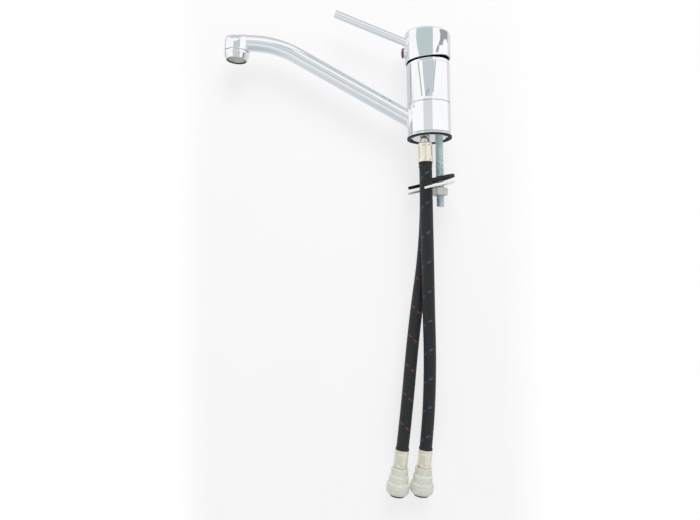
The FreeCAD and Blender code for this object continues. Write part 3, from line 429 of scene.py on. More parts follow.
@dataclass(frozen=True)
class Finish:
    """A surface: two tones, gloss, grain, edge wear that on grey plastic is a painted highlight,
    and water marks.

    Colours are display values of 0 to 255, grain and mark scales are per metre, bump and wear
    widths are metres.
    """

    slot: Slot
    tone: tuple
    shade: tuple
    metallic: float = 0.0
    rough: tuple = (0.3, 0.4)
    grain: float = 500.0
    stretch: tuple = (1.0, 1.0, 1.0)
    bump: float = 0.00001
    wear_and_highlight: float = 0.0
    wear_and_highlight_tone: tuple = (230, 230, 230)
    marks: float = 0.0
    coat: float = 0.0
    sheen: float = 0.0
    specular: float = 0.5
    title: str = ""

    @property
    def name(self) -> str:
        """Name of the material."""
        return self.title or self.slot.value

    def material(self) -> bpy.types.Material:
        """The node material, made once."""
        known = bpy.data.materials.get("Finish " + self.name)
        if known is not None:
            return known
        made = bpy.data.materials.new("Finish " + self.name)
        made.use_nodes = True
        w = Wiring(made.node_tree)
        shader = made.node_tree.nodes["Principled BSDF"].inputs
        for name, value in (("Metallic", self.metallic), ("Coat Weight", self.coat),
                            ("Sheen Weight", self.sheen), ("Specular IOR Level", self.specular)):
            shader[name].default_value = value
        own = w.node("TexCoord").outputs["Object"]
        place = w.node("Mapping", {0: own, 3: self.stretch}).outputs[0]
        grain = self.effect(w, Effect.GRAIN, Vector=place, Scale=self.grain,
                            Low=self.rough[0], High=self.rough[1])
        colour = w.mix(grain["Raw"], linear(*self.shade), linear(*self.tone))
        rough = grain["Value"]
        if self.wear_and_highlight:
            # Edges take the edge tone: real wear, and on grey plastic a painted highlight.
            edge = self.effect(w, Effect.WEAR_AND_HIGHLIGHT, Vector=place, Amount=self.wear_and_highlight)
            colour = w.mix(edge["Value"], colour, linear(*self.wear_and_highlight_tone))
        if self.marks:
            drops = self.effect(w, Effect.MARKS, Vector=place, Amount=self.marks)
            rough = w.math("ADD", rough, w.math("MULTIPLY", drops["Value"], 0.25), clamp=True)
        height = self.height(w, grain["Raw"])
        bump = w.node("Bump", {"Height": height, "Distance": self.bump, "Strength": 1.0})
        w.feed(shader["Base Color"], self.colour(w, colour))
        w.feed(shader["Roughness"], self.gloss(w, rough))
        w.feed(shader["Normal"], bump.outputs[0])
        return made

    def effect(self, w: Wiring, effect: Effect, **values: object) -> bpy.types.NodeOutputs:
        """Outputs of a shared effect placed in this material."""
        placed = w.node("Group")
        placed.node_tree = effect.group()
        for key, value in values.items():
            w.feed(placed.inputs[key], value)
        return placed.outputs

    def colour(self, w: Wiring, colour: Socket) -> Socket:
        """Last word on the colour, here unchanged."""
        return colour

    def gloss(self, w: Wiring, rough: Socket) -> Socket:
        """Last word on the roughness, here unchanged."""
        return rough

    def height(self, w: Wiring, raw: Socket) -> Socket:
        """Relief under the highlights, here the grain."""
        return raw


@dataclass(frozen=True)
class PlatedFinish(Finish):
    """Plating outside; inside, where the mark "inside" is one, the dull cast skin in a near-black
    tone that is painted shade of the hollows.
    """

    # Inside tone: the cast skin darkened to near black, painted shade of the hollows.
    cast_and_shade_tone: tuple = (34, 34, 36)
    cast_rough: float = 0.6

    def colour(self, w: Wiring, colour: Socket) -> Socket:
        """The near-black tone inside: the cast skin with painted shade of the hollows."""
        return w.mix(w.mark("inside"), colour, linear(*self.cast_and_shade_tone))

    def gloss(self, w: Wiring, rough: Socket) -> Socket:
        """The cast skin is dull."""
        return w.math("MAXIMUM", rough, w.math("MULTIPLY", w.mark("inside"), self.cast_rough))


@dataclass(frozen=True)
class BraidFinish(Finish):
    """Nylon braid: yarns along each strand, painted shade in the dips between strands and one
    coloured tracer strand.
    """

    tracer: tuple = (60, 90, 125)
    # Painted shade of the dips between strands.
    gap_shade: tuple = (12, 12, 13)
    strands: int = 12
    yarns: int = 4

    def colour(self, w: Wiring, colour: Socket) -> Socket:
        """The tracer's colour on its strand, and painted shade, a darker tone, where a strand dips
        under the others.
        """
        dyed = w.mix(w.span(w.mark("tracer"), 0.35, 0.65), colour, linear(*self.tracer))
        return w.mix(w.span(w.mark("lift"), 0.15, 0.75, 0.75, 0.0), dyed, linear(*self.gap_shade))

    def height(self, w: Wiring, raw: Socket) -> Socket:
        """Yarns: a sine across the strand that is on top, from the map's U and V."""
        uv = w.node("SeparateXYZ", {0: w.node("UVMap", uv_map="Map").outputs[0]}).outputs
        turns = TAU * self.strands * self.yarns
        waves = [w.math("SINE", w.math("MULTIPLY", w.math(kind, uv[1], uv[0]), turns))
                 for kind in ("ADD", "SUBTRACT")]
        both = w.node("Mix", {0: w.mark("family"), 2: waves[1], 3: waves[0]}).outputs[0]
        return w.math("ADD", w.math("MULTIPLY", raw, 0.6), both)


CHROME = PlatedFinish(Slot.CHROME, (251, 252, 252), (247, 249, 250), 1.0, (0.01, 0.035), 90.0,
                      bump=0.000001, wear_and_highlight=0.12, wear_and_highlight_tone=(205, 205, 200), marks=0.2)
BRASS = Finish(Slot.BRASS, (206, 172, 104), (182, 146, 84), 1.0, (0.22, 0.36), 700.0,
               bump=0.000008, wear_and_highlight=0.4, wear_and_highlight_tone=(228, 200, 140))
STEEL = Finish(Slot.STEEL, (176, 178, 180), (146, 149, 152), 1.0, (0.22, 0.38), 900.0,
               stretch=(1, 1, 0.2), bump=0.000005, wear_and_highlight=0.3)
GAUZE = Finish(Slot.STEEL, (232, 232, 224), (208, 208, 200), 0.55, (0.22, 0.38), 900.0,
               bump=0.000005, title="gauze")
ZINC = Finish(Slot.ZINC, (224, 240, 241), (190, 212, 216), 0.6, (0.22, 0.40), 260.0,
              bump=0.000012, wear_and_highlight=0.4, wear_and_highlight_tone=(225, 232, 230))
NUT = Finish(Slot.ZINC, (232, 234, 228), (208, 211, 204), 0.5, (0.26, 0.44), 260.0,
             bump=0.000012, wear_and_highlight=0.3, wear_and_highlight_tone=(236, 236, 230), title="nut")
NICKEL = Finish(Slot.NICKEL, (232, 230, 222), (208, 206, 198), 1.0, (0.12, 0.24), 700.0,
                bump=0.000003, wear_and_highlight=0.2)
PLATE = Finish(Slot.ZINC, (252, 252, 246), (238, 239, 231), 0.4, (0.30, 0.46), 240.0,
               bump=0.000015, wear_and_highlight=0.3, wear_and_highlight_tone=(225, 225, 218), title="plate")
FERRULE = Finish(Slot.FERRULE, (254, 249, 232), (240, 230, 208), 1.0, (0.12, 0.24), 600.0,
                 stretch=(1, 1, 0.05), bump=0.00001, wear_and_highlight=0.3, wear_and_highlight_tone=(252, 250, 240))
RUBBER = Finish(Slot.RUBBER, (34, 35, 36), (22, 23, 24), 0.0, (0.48, 0.66), 1500.0,
                bump=0.00003, wear_and_highlight=0.3, wear_and_highlight_tone=(60, 61, 62), specular=0.35)
BLACK = Finish(Slot.BLACK, (26, 27, 28), (18, 18, 20), 0.0, (0.38, 0.52), 1500.0, bump=0.00001)
WHITE = Finish(Slot.WHITE, (226, 226, 220), (214, 213, 206), 0.0, (0.3, 0.42), 900.0,
               bump=0.00001)
# Grey plastic: its lighter edge tone is a painted highlight along the edges of the steps.
GREY = Finish(Slot.GREY, (224, 225, 213), (214, 215, 203), 0.0, (0.24, 0.36), 700.0,
              bump=0.000012, wear_and_highlight=0.7, wear_and_highlight_tone=(242, 243, 236))
DARK = Finish(Slot.DARK, (62, 64, 66), (50, 52, 54), 0.0, (0.32, 0.48), 900.0, bump=0.00001)
MAROON = Finish(Slot.MAROON, (112, 34, 58), (96, 28, 50), 0.0, (0.12, 0.22), 400.0,
                bump=0.000003, coat=0.4)
CERAMIC = Finish(Slot.CERAMIC, (238, 234, 224), (228, 223, 212), 0.0, (0.12, 0.22), 800.0,
                 bump=0.000002)
BRAID = BraidFinish(Slot.BRAID, (40, 44, 45), (31, 34, 35), 0.0, (0.36, 0.52), 2200.0,
                    bump=0.00006, sheen=0.05, specular=0.3)
BY_SLOT = {f.slot: f for f in (CHROME, BRASS, STEEL, ZINC, NICKEL, FERRULE, RUBBER, BLACK, WHITE,
                               GREY, DARK, MAROON, CERAMIC, BRAID)}


# Column

@dataclass
class Column:
    """Plated body over its base ring and gasket, with the threaded stud under it."""

    barrel_r: float = 21.1
    barrel_z: float = 33.7
    top_z: float = 74.5
    tilt: float = 2.1
    stem_r: float = 16.6
    sole_z: float = 0.8
    stud_x: float = 9.4
    stud_r: float = 3.9
    stud_low: float = -66.8
    stud_top: float = 11.8
    pitch: float = 1.25
    thread_depth: float = 0.55
    bead_drop: float = 3.5
    groove: tuple = (0.4, 0.5)
    well: tuple = ((18.9, 69.3), (18.05, 65.9), (17.35, 46.0))
    gasket_r: float = 22.0
    gasket_t: float = 1.6

    def body(self) -> Skin:
        """Turned body whose top, bead groove and well mouth lie on one tipped plane.

        A point at angle a is lifted by r cos(a) tan(tilt) where it belongs to the top.
        """
        r, z, bead = self.barrel_r, self.top_z, self.top_z - self.bead_drop
        depth, width = self.groove
        (mouth_r, seat), (thread_r, step), (bore_r, floor) = self.well
        outline = rounded([
            (POLE, self.sole_z), (self.stem_r, self.sole_z, 0.4), (self.stem_r, self.barrel_z),
            (r, self.barrel_z, 0.25), (r, bead, 0.1), (r - depth, bead + 0.05, 0.08),
            (r - depth, bead + width - 0.05, 0.08), (r, bead + width, 0.1), (r, z, 0.55),
            (mouth_r, z, 0.25), (mouth_r, seat), (thread_r, seat), (thread_r, step),
            (bore_r, step), (bore_r, floor), (POLE, floor)], closed=False, steps=6)
        grid = turned(outline, 192)
        top = (outline[:, 1] > seat + 0.1)[:, None]
        grid[..., 2] += top * grid[..., 0] * math.tan(math.radians(self.tilt))
        inner = (outline[:, 0] < mouth_r + 0.6) & (outline[:, 1] > self.barrel_z)
        return Skin("column_body").add(grid, inside=inside_rows(grid, inner))

    def base_ring(self) -> Skin:
        """Flared ring under the sleeve."""
        r, low = self.gasket_r, self.gasket_t
        outline = rounded([(self.stem_r, low), (r, low, 0.1), (r + 0.2, low + 0.3, 0.14),
                           (r - 0.4, low + 1.3, 0.4), (r - 0.8, low + 2.2, 0.2),
                           (self.stem_r, low + 2.2)])
        return Skin("flared_base_ring").add(turned(outline, 160), ring=True)

    def gasket(self) -> Skin:
        """Rubber ring with soft edges and a lip on its outside."""
        r, t = self.gasket_r, self.gasket_t
        outline = rounded([(r - 2.8, 0.0, 0.25), (r - 1.4, 0.15, 0.1), (r, 0.0, 0.35),
                           (r - 0.2, t / 2, 0.2), (r, t, 0.35), (r - 3.8, t, 0.2),
                           (r - 3.8, t - 0.4, 0.2)])
        return Skin("deck_gasket").add(turned(outline, 128), ring=True)

    def stud(self) -> Skin:
        """Rolled thread: the radius falls by the depth at each root of the helix.

        The phase is z / pitch - a / turn, and both ends are cut by a cone.
        """
        rows = int((self.stud_top - self.stud_low) / self.pitch * 8)
        z = np.linspace(self.stud_low, self.stud_top, rows)
        angle = around(40)[None]
        phase = z[:, None] / self.pitch - angle / TAU
        wave = np.abs(2 * (phase - np.floor(phase)) - 1)
        radius = self.stud_r - self.thread_depth * (1 - smooth(wave, 0.12, 0.88))
        cone = np.minimum(z - self.stud_low, self.stud_top - z)[:, None] + self.stud_r - 0.9
        grid = polar(np.minimum(radius, cone), angle, z[:, None])
        return Skin("threaded_stud").add(grid + (self.stud_x, 0.0, 0.0))

    def make(self) -> None:
        """Builds and dresses the column's pieces."""
        self.body().build(CHROME, "base", "body_casting")
        self.base_ring().build(CHROME, "base", "base_ring")
        self.gasket().build(RUBBER, "base", "base_gasket")
        self.stud().build(ZINC, "base", "fixing_stud", sharp=70.0, weighted=False)


# Spout

@dataclass
class Spout:
    """Sleeve, bent tube and outlet head, with the aerator and its woven screen."""

    sleeve_r: float = 21.1
    sleeve_low: float = 4.1
    sleeve_top: float = 33.4
    sleeve_bore: float = 17.5
    sleeve_seat: tuple = (19.3, 1.45)
    tube_r: float = 7.7
    start: tuple = (-22.0, 22.0)
    slope: float = 30.75
    bend_r: float = 97.0
    level_run: float = 9.9
    fillet: float = 2.6
    head_x: float = -188.4
    head_r: float = 12.3
    head_drop: float = 8.9
    head_tilt: float = 4.0
    head_edge: float = 5.0
    head_fall: float = 2.4
    fall_from: float = 4.5
    fall_run: float = 7.8
    head_bore: float = 10.45
    head_wall: float = 1.6
    vault_r: float = 12.6
    vault_over: float = 0.2
    plug_in: float = 1.7
    root_in: float = 1.4
    root_weight: float = 0.7
    aerator_gap: float = 0.4
    aerator_h: float = 7.8
    cup_r: tuple = (12.1, 10.6)
    cup_bore: float = 9.4
    cup_thread: tuple = (10.4, 5.9)
    cup_lip: tuple = (8.7, 0.9)
    screen_r: float = 9.3
    screen_inset: float = 1.2
    wire_r: float = 0.15
    wire_pitch: float = 0.66

    def __post_init__(self) -> None:
        """Works out the bend's start, the heights of level run and vault, and the head's lean."""
        slope, lean = math.radians(self.slope), math.radians(self.head_tilt)
        self.lean = math.cos(lean), math.sin(lean)
        self.bend_x = self.head_x + self.level_run + self.bend_r * math.sin(slope)
        self.bend_z = self.start[1] + (self.start[0] - self.bend_x) * math.tan(slope)
        self.level_z = self.bend_z + self.bend_r * (1 - math.cos(slope))
        self.head_low = self.level_z - self.head_drop
        self.vault_z = self.level_z + self.tube_r + self.vault_over - self.vault_r

    def sleeve(self) -> Array:
        """Turned sleeve with a counterbore at each end."""
        r, low, top, bore = self.sleeve_r, self.sleeve_low, self.sleeve_top, self.sleeve_bore
        seat_r, seat_t = self.sleeve_seat
        outline = rounded([(r, low, 0.25), (r, top, 0.25), (seat_r, top, 0.1),
                           (seat_r, top - seat_t), (bore, top - seat_t), (bore, low + seat_t),
                           (seat_r, low + seat_t), (seat_r, low, 0.1)])
        return turned(outline, 192)

    @staticmethod
    def on_drum(ring: Array, x: float, radius: float) -> Array:
        """Ring of points pushed along X onto an upright drum, on the side it is on."""
        depth = np.sqrt(np.maximum(radius ** 2 - ring[..., 1] ** 2, 0))
        side = np.sign(ring[..., 0].mean() - x)
        return np.stack([x + side * depth, ring[..., 1], ring[..., 2]], -1)

    def closing(self, ring: Array, x: float, radius: float) -> Array:
        """Rows that shrink a ring to a point while they stay on a drum."""
        share = np.array([0.8, 0.55, 0.3, 0.08, 0.004])[:, None, None]
        middle = ring.mean(0)
        return np.stack([self.on_drum(r, x, radius) for r in middle + share * (ring - middle)])

    def tube(self) -> Array:
        """Tube with a filleted root, carried along a sloping run, a bend and a level run.

        A section point at angle a is side = r cos a along Y and lift = r sin a along the
        normal (sin t, cos t) of the path in XZ. The root meets the sleeve where the point's
        distance from Z is the sleeve's radius, and the fillet there is the rational parabola
        from the sleeve's wall through that point to the tube.
        """
        slope, angle, core = math.radians(self.slope), around(120), self.sleeve_r - self.root_in
        side, lift = self.tube_r * np.cos(angle), self.tube_r * np.sin(angle)
        way = np.array([-math.cos(slope), 0.0, math.sin(slope)])
        up = np.array([math.sin(slope), 0.0, math.cos(slope)])
        axis = np.array([self.start[0], 0.0, self.start[1]])
        section = side[:, None] * (0.0, 1.0, 0.0) + lift[:, None] * up
        wall_x = -np.sqrt(self.sleeve_r ** 2 - side ** 2)
        meet_s = (axis[0] + section[:, 0] - wall_x) / math.cos(slope)
        meet = axis + section + meet_s[:, None] * way
        wall_n = np.stack([wall_x, side, 0 * side], -1) / self.sleeve_r
        seam = np.cross(wall_n, section / self.tube_r)
        away = unit(np.cross(seam, wall_n))
        away *= np.sign(np.einsum("ij,ij->i", away, section))[:, None]
        foot = meet + self.fillet * away
        foot[:, :2] = (self.sleeve_r + 0.004) * unit(foot[:, :2])
        knee = meet + self.fillet * way
        root = bezier(np.linspace(0, 1, 11)[:, None, None], foot, meet, knee, self.root_weight)
        inside = self.on_drum(foot, 0.0, core)
        rows = [self.closing(inside, 0.0, core)[::-1], inside[None], root]

        run = np.linspace(0, 1, 40)[1:, None, None]
        far = np.array([self.bend_x, 0.0, self.bend_z]) + section
        rows.append(knee + run * (far - knee))
        t = np.linspace(slope, 0, 60)[1:, None]
        centre_x = self.bend_x - self.bend_r * math.sin(slope)
        reach = self.bend_r + lift
        rows.append(np.stack([centre_x + reach * np.sin(t), side + 0 * t,
                              self.level_z - self.bend_r + reach * np.cos(t)], -1))
        last, plug = rows[-1][-1], self.head_bore - self.plug_in
        end = self.on_drum(last, self.head_x, plug)
        rows.append(last + np.linspace(0, 1, 8)[1:, None, None] * (end - last))
        rows.append(self.closing(end, self.head_x, plug))
        return np.vstack(rows)

    def leaned(self, grid: Array) -> Array:
        """Grid about the head's own axis turned about Y at the tube's end, mouth away."""
        c, s = self.lean
        lift = grid[..., 2] - self.level_z
        return np.stack([self.head_x + c * grid[..., 0] + s * lift, grid[..., 1],
                         self.level_z - s * grid[..., 0] + c * lift], -1)

    def vault(self, radius: Array, angle: Array, vault_r: float) -> Array:
        """Height along the head's axis at which a plan point meets the level barrel vault.

        The vault stands at z0 + sqrt(R^2 - y^2); the leaning frame's height h there solves
        level + h cos(tilt) - x sin(tilt) = that height. Towards the free end it falls off by
        head_fall t^2, t running from 0 to 1 over the fall's run.
        """
        c, s = self.lean
        x, y = radius * np.cos(angle), radius * np.sin(angle)
        roof = self.vault_z + np.sqrt(np.maximum(vault_r ** 2 - y ** 2, 0))
        roof = roof - self.head_fall * np.clip((-x - self.fall_from) / self.fall_run, 0, 1) ** 2
        return self.level_z + (roof - self.level_z + s * x) / c

    def head(self) -> Array:
        """Leaning round head closed by the vault, with a soft edge between them, open below.

        The edge at a plan angle is the rational parabola of a fillet whose ease is its radius
        times tan(turn / 2), so it fades out where the vault comes down steeply.
        """
        r, bore, low, angle = self.head_r, self.head_bore, self.head_low, around(144)[None]
        outer, inner, step = self.vault_r, self.vault_r - self.head_wall, 0.01
        corner = self.vault(r, angle, outer)
        slope = np.arctan((corner - self.vault(r - step, angle, outer)) / step)
        turn = math.pi / 2 + slope
        ease = self.head_edge * np.tan(turn / 2)
        start, brow = r - ease * np.cos(slope), corner - ease
        share = np.linspace(0, 1, 13)[:, None] ** 0.8
        u, side = np.linspace(0, 1, 9)[1:, None], np.linspace(0, 1, 6)[1:, None]
        weight = np.cos(turn / 2)
        rows = [
            (share * start + POLE * (1 - share), self.vault(share * start, angle, outer)),
            (bezier(u, start, r, r, weight),
             bezier(u, self.vault(start, angle, outer), corner, brow, weight)),
            (r + 0 * side, brow + side * (low + 0.3 - brow)), (r - 0.09, low + 0.09),
            (r - 0.3, low), (bore, low), (bore, self.vault(bore, angle, inner)),
            (POLE, self.vault(POLE, angle, inner))]
        lines = np.vstack([np.stack([radius + 0 * angle, height + 0 * angle], -1)
                           for radius, height in rows])
        return self.leaned(polar(lines[..., 0], angle, lines[..., 1]))

    def aerator(self) -> Skin:
        """Tapered cup with a thread that screws into the head and an inward lip."""
        top = self.head_low - self.aerator_gap
        low, bore, (wide, narrow) = top - self.aerator_h, self.cup_bore, self.cup_r
        (thread_r, thread_l), (lip_r, lip_t) = self.cup_thread, self.cup_lip
        outline = rounded([(bore, top + thread_l), (thread_r, top + thread_l), (thread_r, top),
                           (wide, top, 0.3), (wide, top - 2.4, 0.6), (narrow, low, 0.35),
                           (lip_r, low, 0.25), (lip_r, low + lip_t), (bore, low + lip_t)], steps=6)
        grid = turned(outline, 144)
        return Skin("aerator_cup").add(self.leaned(grid), ring=True,
                                       inside=inside_rows(grid, outline[:, 0] < bore + 0.05))

    def screen(self) -> Skin:
        """Plain-woven screen: wires along X and Y that pass over and under each other.

        A wire's height is its radius times the cosine of half a turn per pitch, with the
        opposite sign on each next wire and in the other direction.
        """
        skin = Skin("woven_screen")
        low = self.head_low - self.aerator_gap - self.aerator_h + self.screen_inset
        count = int(self.screen_r / self.wire_pitch)
        angle = around(6)[None]
        for k in range(-count, count + 1):
            across = k * self.wire_pitch
            half = math.sqrt(max(self.screen_r ** 2 - across ** 2, 0.4))
            s = np.linspace(-half, half, max(4, int(half * 7)))[:, None]
            for turn in (0, 1):
                sign = (1 - 2 * turn) * (1 - 2 * (k % 2))
                height = low + sign * self.wire_r * np.cos(math.pi * s / self.wire_pitch)
                side = across + self.wire_r * np.cos(angle) + 0 * s
                grid = np.stack([s + 0 * angle, side, height + self.wire_r * np.sin(angle)], -1)
                skin.add(self.leaned(spun(grid, 90 * turn)))
        rim = rounded([(self.screen_r - 0.5, low - 0.3, 0.1), (self.screen_r + 0.1, low - 0.3),
                       (self.screen_r + 0.1, low + 0.3), (self.screen_r - 0.5, low + 0.3, 0.1)])
        return skin.add(self.leaned(turned(rim, 96)), ring=True)

    def make(self) -> None:
        """Builds and dresses the spout's pieces."""
        shell = Skin("swivel_spout")
        for grid, ring in ((self.sleeve(), True), (self.tube(), False), (self.head(), False)):
            shell.add(grid, ring=ring)
        shell.build(CHROME, "spout", "spout")
        self.aerator().build(CHROME, "spout", "aerator_housing")
        self.screen().build(GAUZE, "spout", "aerator_mesh", weighted=False)


# Handle

@dataclass
class Handle:
    """Rocking cap, plain rod lever over the spout and maroon index button."""

    cap_r: float = 22.4
    wall: float = 2.0
    rim_z: float = 75.8
    rocker_r: float = 150.0
    rim_tilt: float = 4.6
    top_z: float = 104.0
    top_t: float = 4.0
    top_tilt: float = 3.6
    even_band: float = 6.0
    lever_r: float = 3.7
    lever_l: float = 74.9
    lever_stud: tuple = (2.9, 10.6)
    lever_seat: float = 2.0
    rise: float = 23.8
    root_z: float = 97.2
    index_r: float = 5.1
    index_z: float = 86.4
    index_stem: tuple = (3.6, 19.8, 21.2)
    lens_seat: tuple = (3.25, 0.65)
    index_bezel: float = 1.7
    index_proud: float = 2.5
    index_dome: float = 1.4

    def rim(self, x: Array) -> Array:
        """Height of the rim: the underside of a drum across the lever, tipped about Y."""
        tilt = math.radians(self.rim_tilt)
        middle_x = -self.rocker_r * math.sin(tilt)
        middle_z = self.rim_z + self.rocker_r * math.cos(tilt)
        return middle_z - np.sqrt(self.rocker_r ** 2 - (x - middle_x) ** 2)

    def cap(self) -> tuple[Array, Array]:
        """Shell of revolution between the rocker rim and the sloping top.

        The outline's height h runs from 0 at the rim to 1 at the top, so a point is at
        (1 - h) rim(x) + h top(x), plus an offset in millimetres.

        Returns:
            The grid, and which of its rows are inside.
        """
        r, span = self.cap_r, self.top_z - self.rim_z
        inner, roof = r - self.wall, span - self.top_t
        outline = rounded([(POLE, roof), (inner, roof, 2.0), (inner, 0.0, 0.25), (r, 0.0, 0.35),
                           (r, span, 1.6), (POLE, span)], closed=False, steps=8)
        x = outline[:, :1] * np.cos(around(192))[None]
        h = smooth(outline[:, 1], self.even_band, span - self.even_band)[:, None]
        base = (1 - h) * (self.rim(x) - self.rim_z) - h * x * math.tan(math.radians(self.top_tilt))
        grid = turned(outline, 192)
        grid[..., 2] += self.rim_z + base
        return grid, (outline[:, 0] < r - self.wall / 2) & (outline[:, 1] < span - self.wall)

    def along(self, grid: Array) -> Array:
        """Grid built along +Z moved onto the lever's line."""
        rise = math.radians(self.rise)
        way = np.array([-math.cos(rise), 0.0, math.sin(rise)])
        return moved(grid * (1.0, 1.0, -1.0), np.array([-self.cap_r, 0.0, self.root_z]), way)

    def lever(self) -> Array:
        """Turned rod: threaded end, shadow groove at the cap and a lightly eased free end."""
        r, length, seat = self.lever_r, self.lever_l, self.lever_seat
        neck, (stud_r, stud_l) = r - 0.25, self.lever_stud
        outline = rounded([(POLE, -stud_l), (stud_r, -stud_l, 0.3), (stud_r, -seat), (r, -seat),
                           (r, -0.3, 0.05), (neck, -0.2, 0.05), (neck, 0.35, 0.05),
                           (r, 0.45, 0.08), (r, length, 0.55), (POLE, length)], closed=False)
        return self.along(turned(outline, 96))

    def index(self) -> tuple[Array, Array]:
        """Maroon lens and the plated bezel that holds it on the cap's wall, under the lever."""
        r, out, bezel = self.index_r, self.cap_r + self.index_proud, self.cap_r + self.index_bezel
        t, brim = np.linspace(0, math.pi / 2, 14)[1:], r * 0.93
        dome = np.stack([brim * np.cos(t), out + self.index_dome * np.sin(t)], -1)
        dome[-1, 0] = POLE
        (stem_r, low, top), (seat_r, seat_t), play = self.index_stem, self.lens_seat, 0.05
        peg, foot = seat_r - play, bezel - seat_t + play
        lens = np.vstack([[(POLE, foot), (peg, foot), (peg, bezel), (r - 0.15, bezel),
                           (r, out - 0.3), (r - 0.1, out - 0.05), (brim, out)], dome])
        hole, floor, face = seat_r + play, bezel - seat_t - play, bezel - 0.02
        holder = rounded([(POLE, low), (stem_r, low), (stem_r, top), (r, top), (r, face, 0.12),
                          (hole, face), (hole, floor), (POLE, floor)], closed=False)
        turns = [turned(outline, 72) for outline in (lens, holder)]
        return tuple(np.stack([-grid[..., 2], grid[..., 1], grid[..., 0] + self.index_z], -1)
                     for grid in turns)

    def make(self) -> None:
        """Builds and dresses the handle's pieces."""
        cap, inner = self.cap()
        shell = Skin("rocking_cap").add(cap, inside=inside_rows(cap, inner))
        shell.build(CHROME, "lever", "handle_cap")
        Skin("lever").add(self.lever()).build(CHROME, "lever", "lever_rod")
        lens, holder = self.index()
        Skin("index_lens").add(lens).build(MAROON, "lever", "index_button")
        Skin("index_bezel").add(holder).build(CHROME, "lever", "index_button")


# Clamp

@dataclass
class Clamp:
    """Hexagon nut under the horseshoe plate."""

    stud_x: float = Column.stud_x
    across: float = 13.0
    bore_r: float = 3.95
    chamfer: float = 0.9

    def nut(self) -> Skin:
        """Hexagon cut by a cone at both ends: r = min(cone, half across / cos(a))."""
        low, high = (corner.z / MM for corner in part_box("clamp_nut"))
        corner, flat = self.across / math.sqrt(3), self.across / 2
        s = np.linspace(0, 1, 9)
        edge = np.stack([flat * 0.97 + (corner - flat * 0.97) * s, self.chamfer * s], -1)
        outer = np.vstack([edge + (0, low), (edge * (1, -1))[::-1] + (0, high)])
        outline = np.vstack([outer, [(self.bore_r + 0.5, high), (self.bore_r, high - 0.5),
                                     (self.bore_r, low + 0.5), (self.bore_r + 0.5, low)]])

        def hexagon(radius: Array, height: Array, angle: Array) -> Array:
            """Radius kept within the six flats."""
            part = np.mod(angle, TAU / 6) - TAU / 12
            return np.where(radius > flat * 0.9, np.minimum(radius, flat / np.cos(part)), radius)

        grid = turned(outline, 144, hexagon)
        return Skin("hexagon_nut").add(grid + (self.stud_x, 0.0, 0.0), ring=True)

    def make(self) -> None:
        """Builds and dresses the nut, and gives the plate its own finish."""
        self.nut().build(NUT, "nut", "clamp_nut", sharp=25.0)
        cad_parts["clamp_plate"].data.materials[0] = PLATE.material()


# Tails

class Side(Enum):
    """The two tails."""

    COLD = "cold"
    HOT = "hot"


ROUTES = {
    Side.COLD: ((-5.6, -8.5, -6.1), (-5.6, -8.5, -38.0), (-5.4, -7.6, -78.0),
                (-4.9, -4.4, -122.0), (-4.4, 0.4, -166.0), (-3.4, 5.3, -210.0),
                (-4.3, 8.6, -250.0), (-6.9, 10.1, -287.0), (-11.2, 10.5, -322.0)),
    Side.HOT: ((-3.4, 8.5, -6.1), (-3.4, 8.5, -38.0), (-4.0, 9.0, -78.0), (-8.0, 9.6, -122.0),
               (-15.2, 9.9, -166.0), (-20.9, 10.1, -210.0), (-25.2, 10.2, -250.0),
               (-29.7, 10.4, -287.0), (-34.5, 10.5, -322.0)),
}


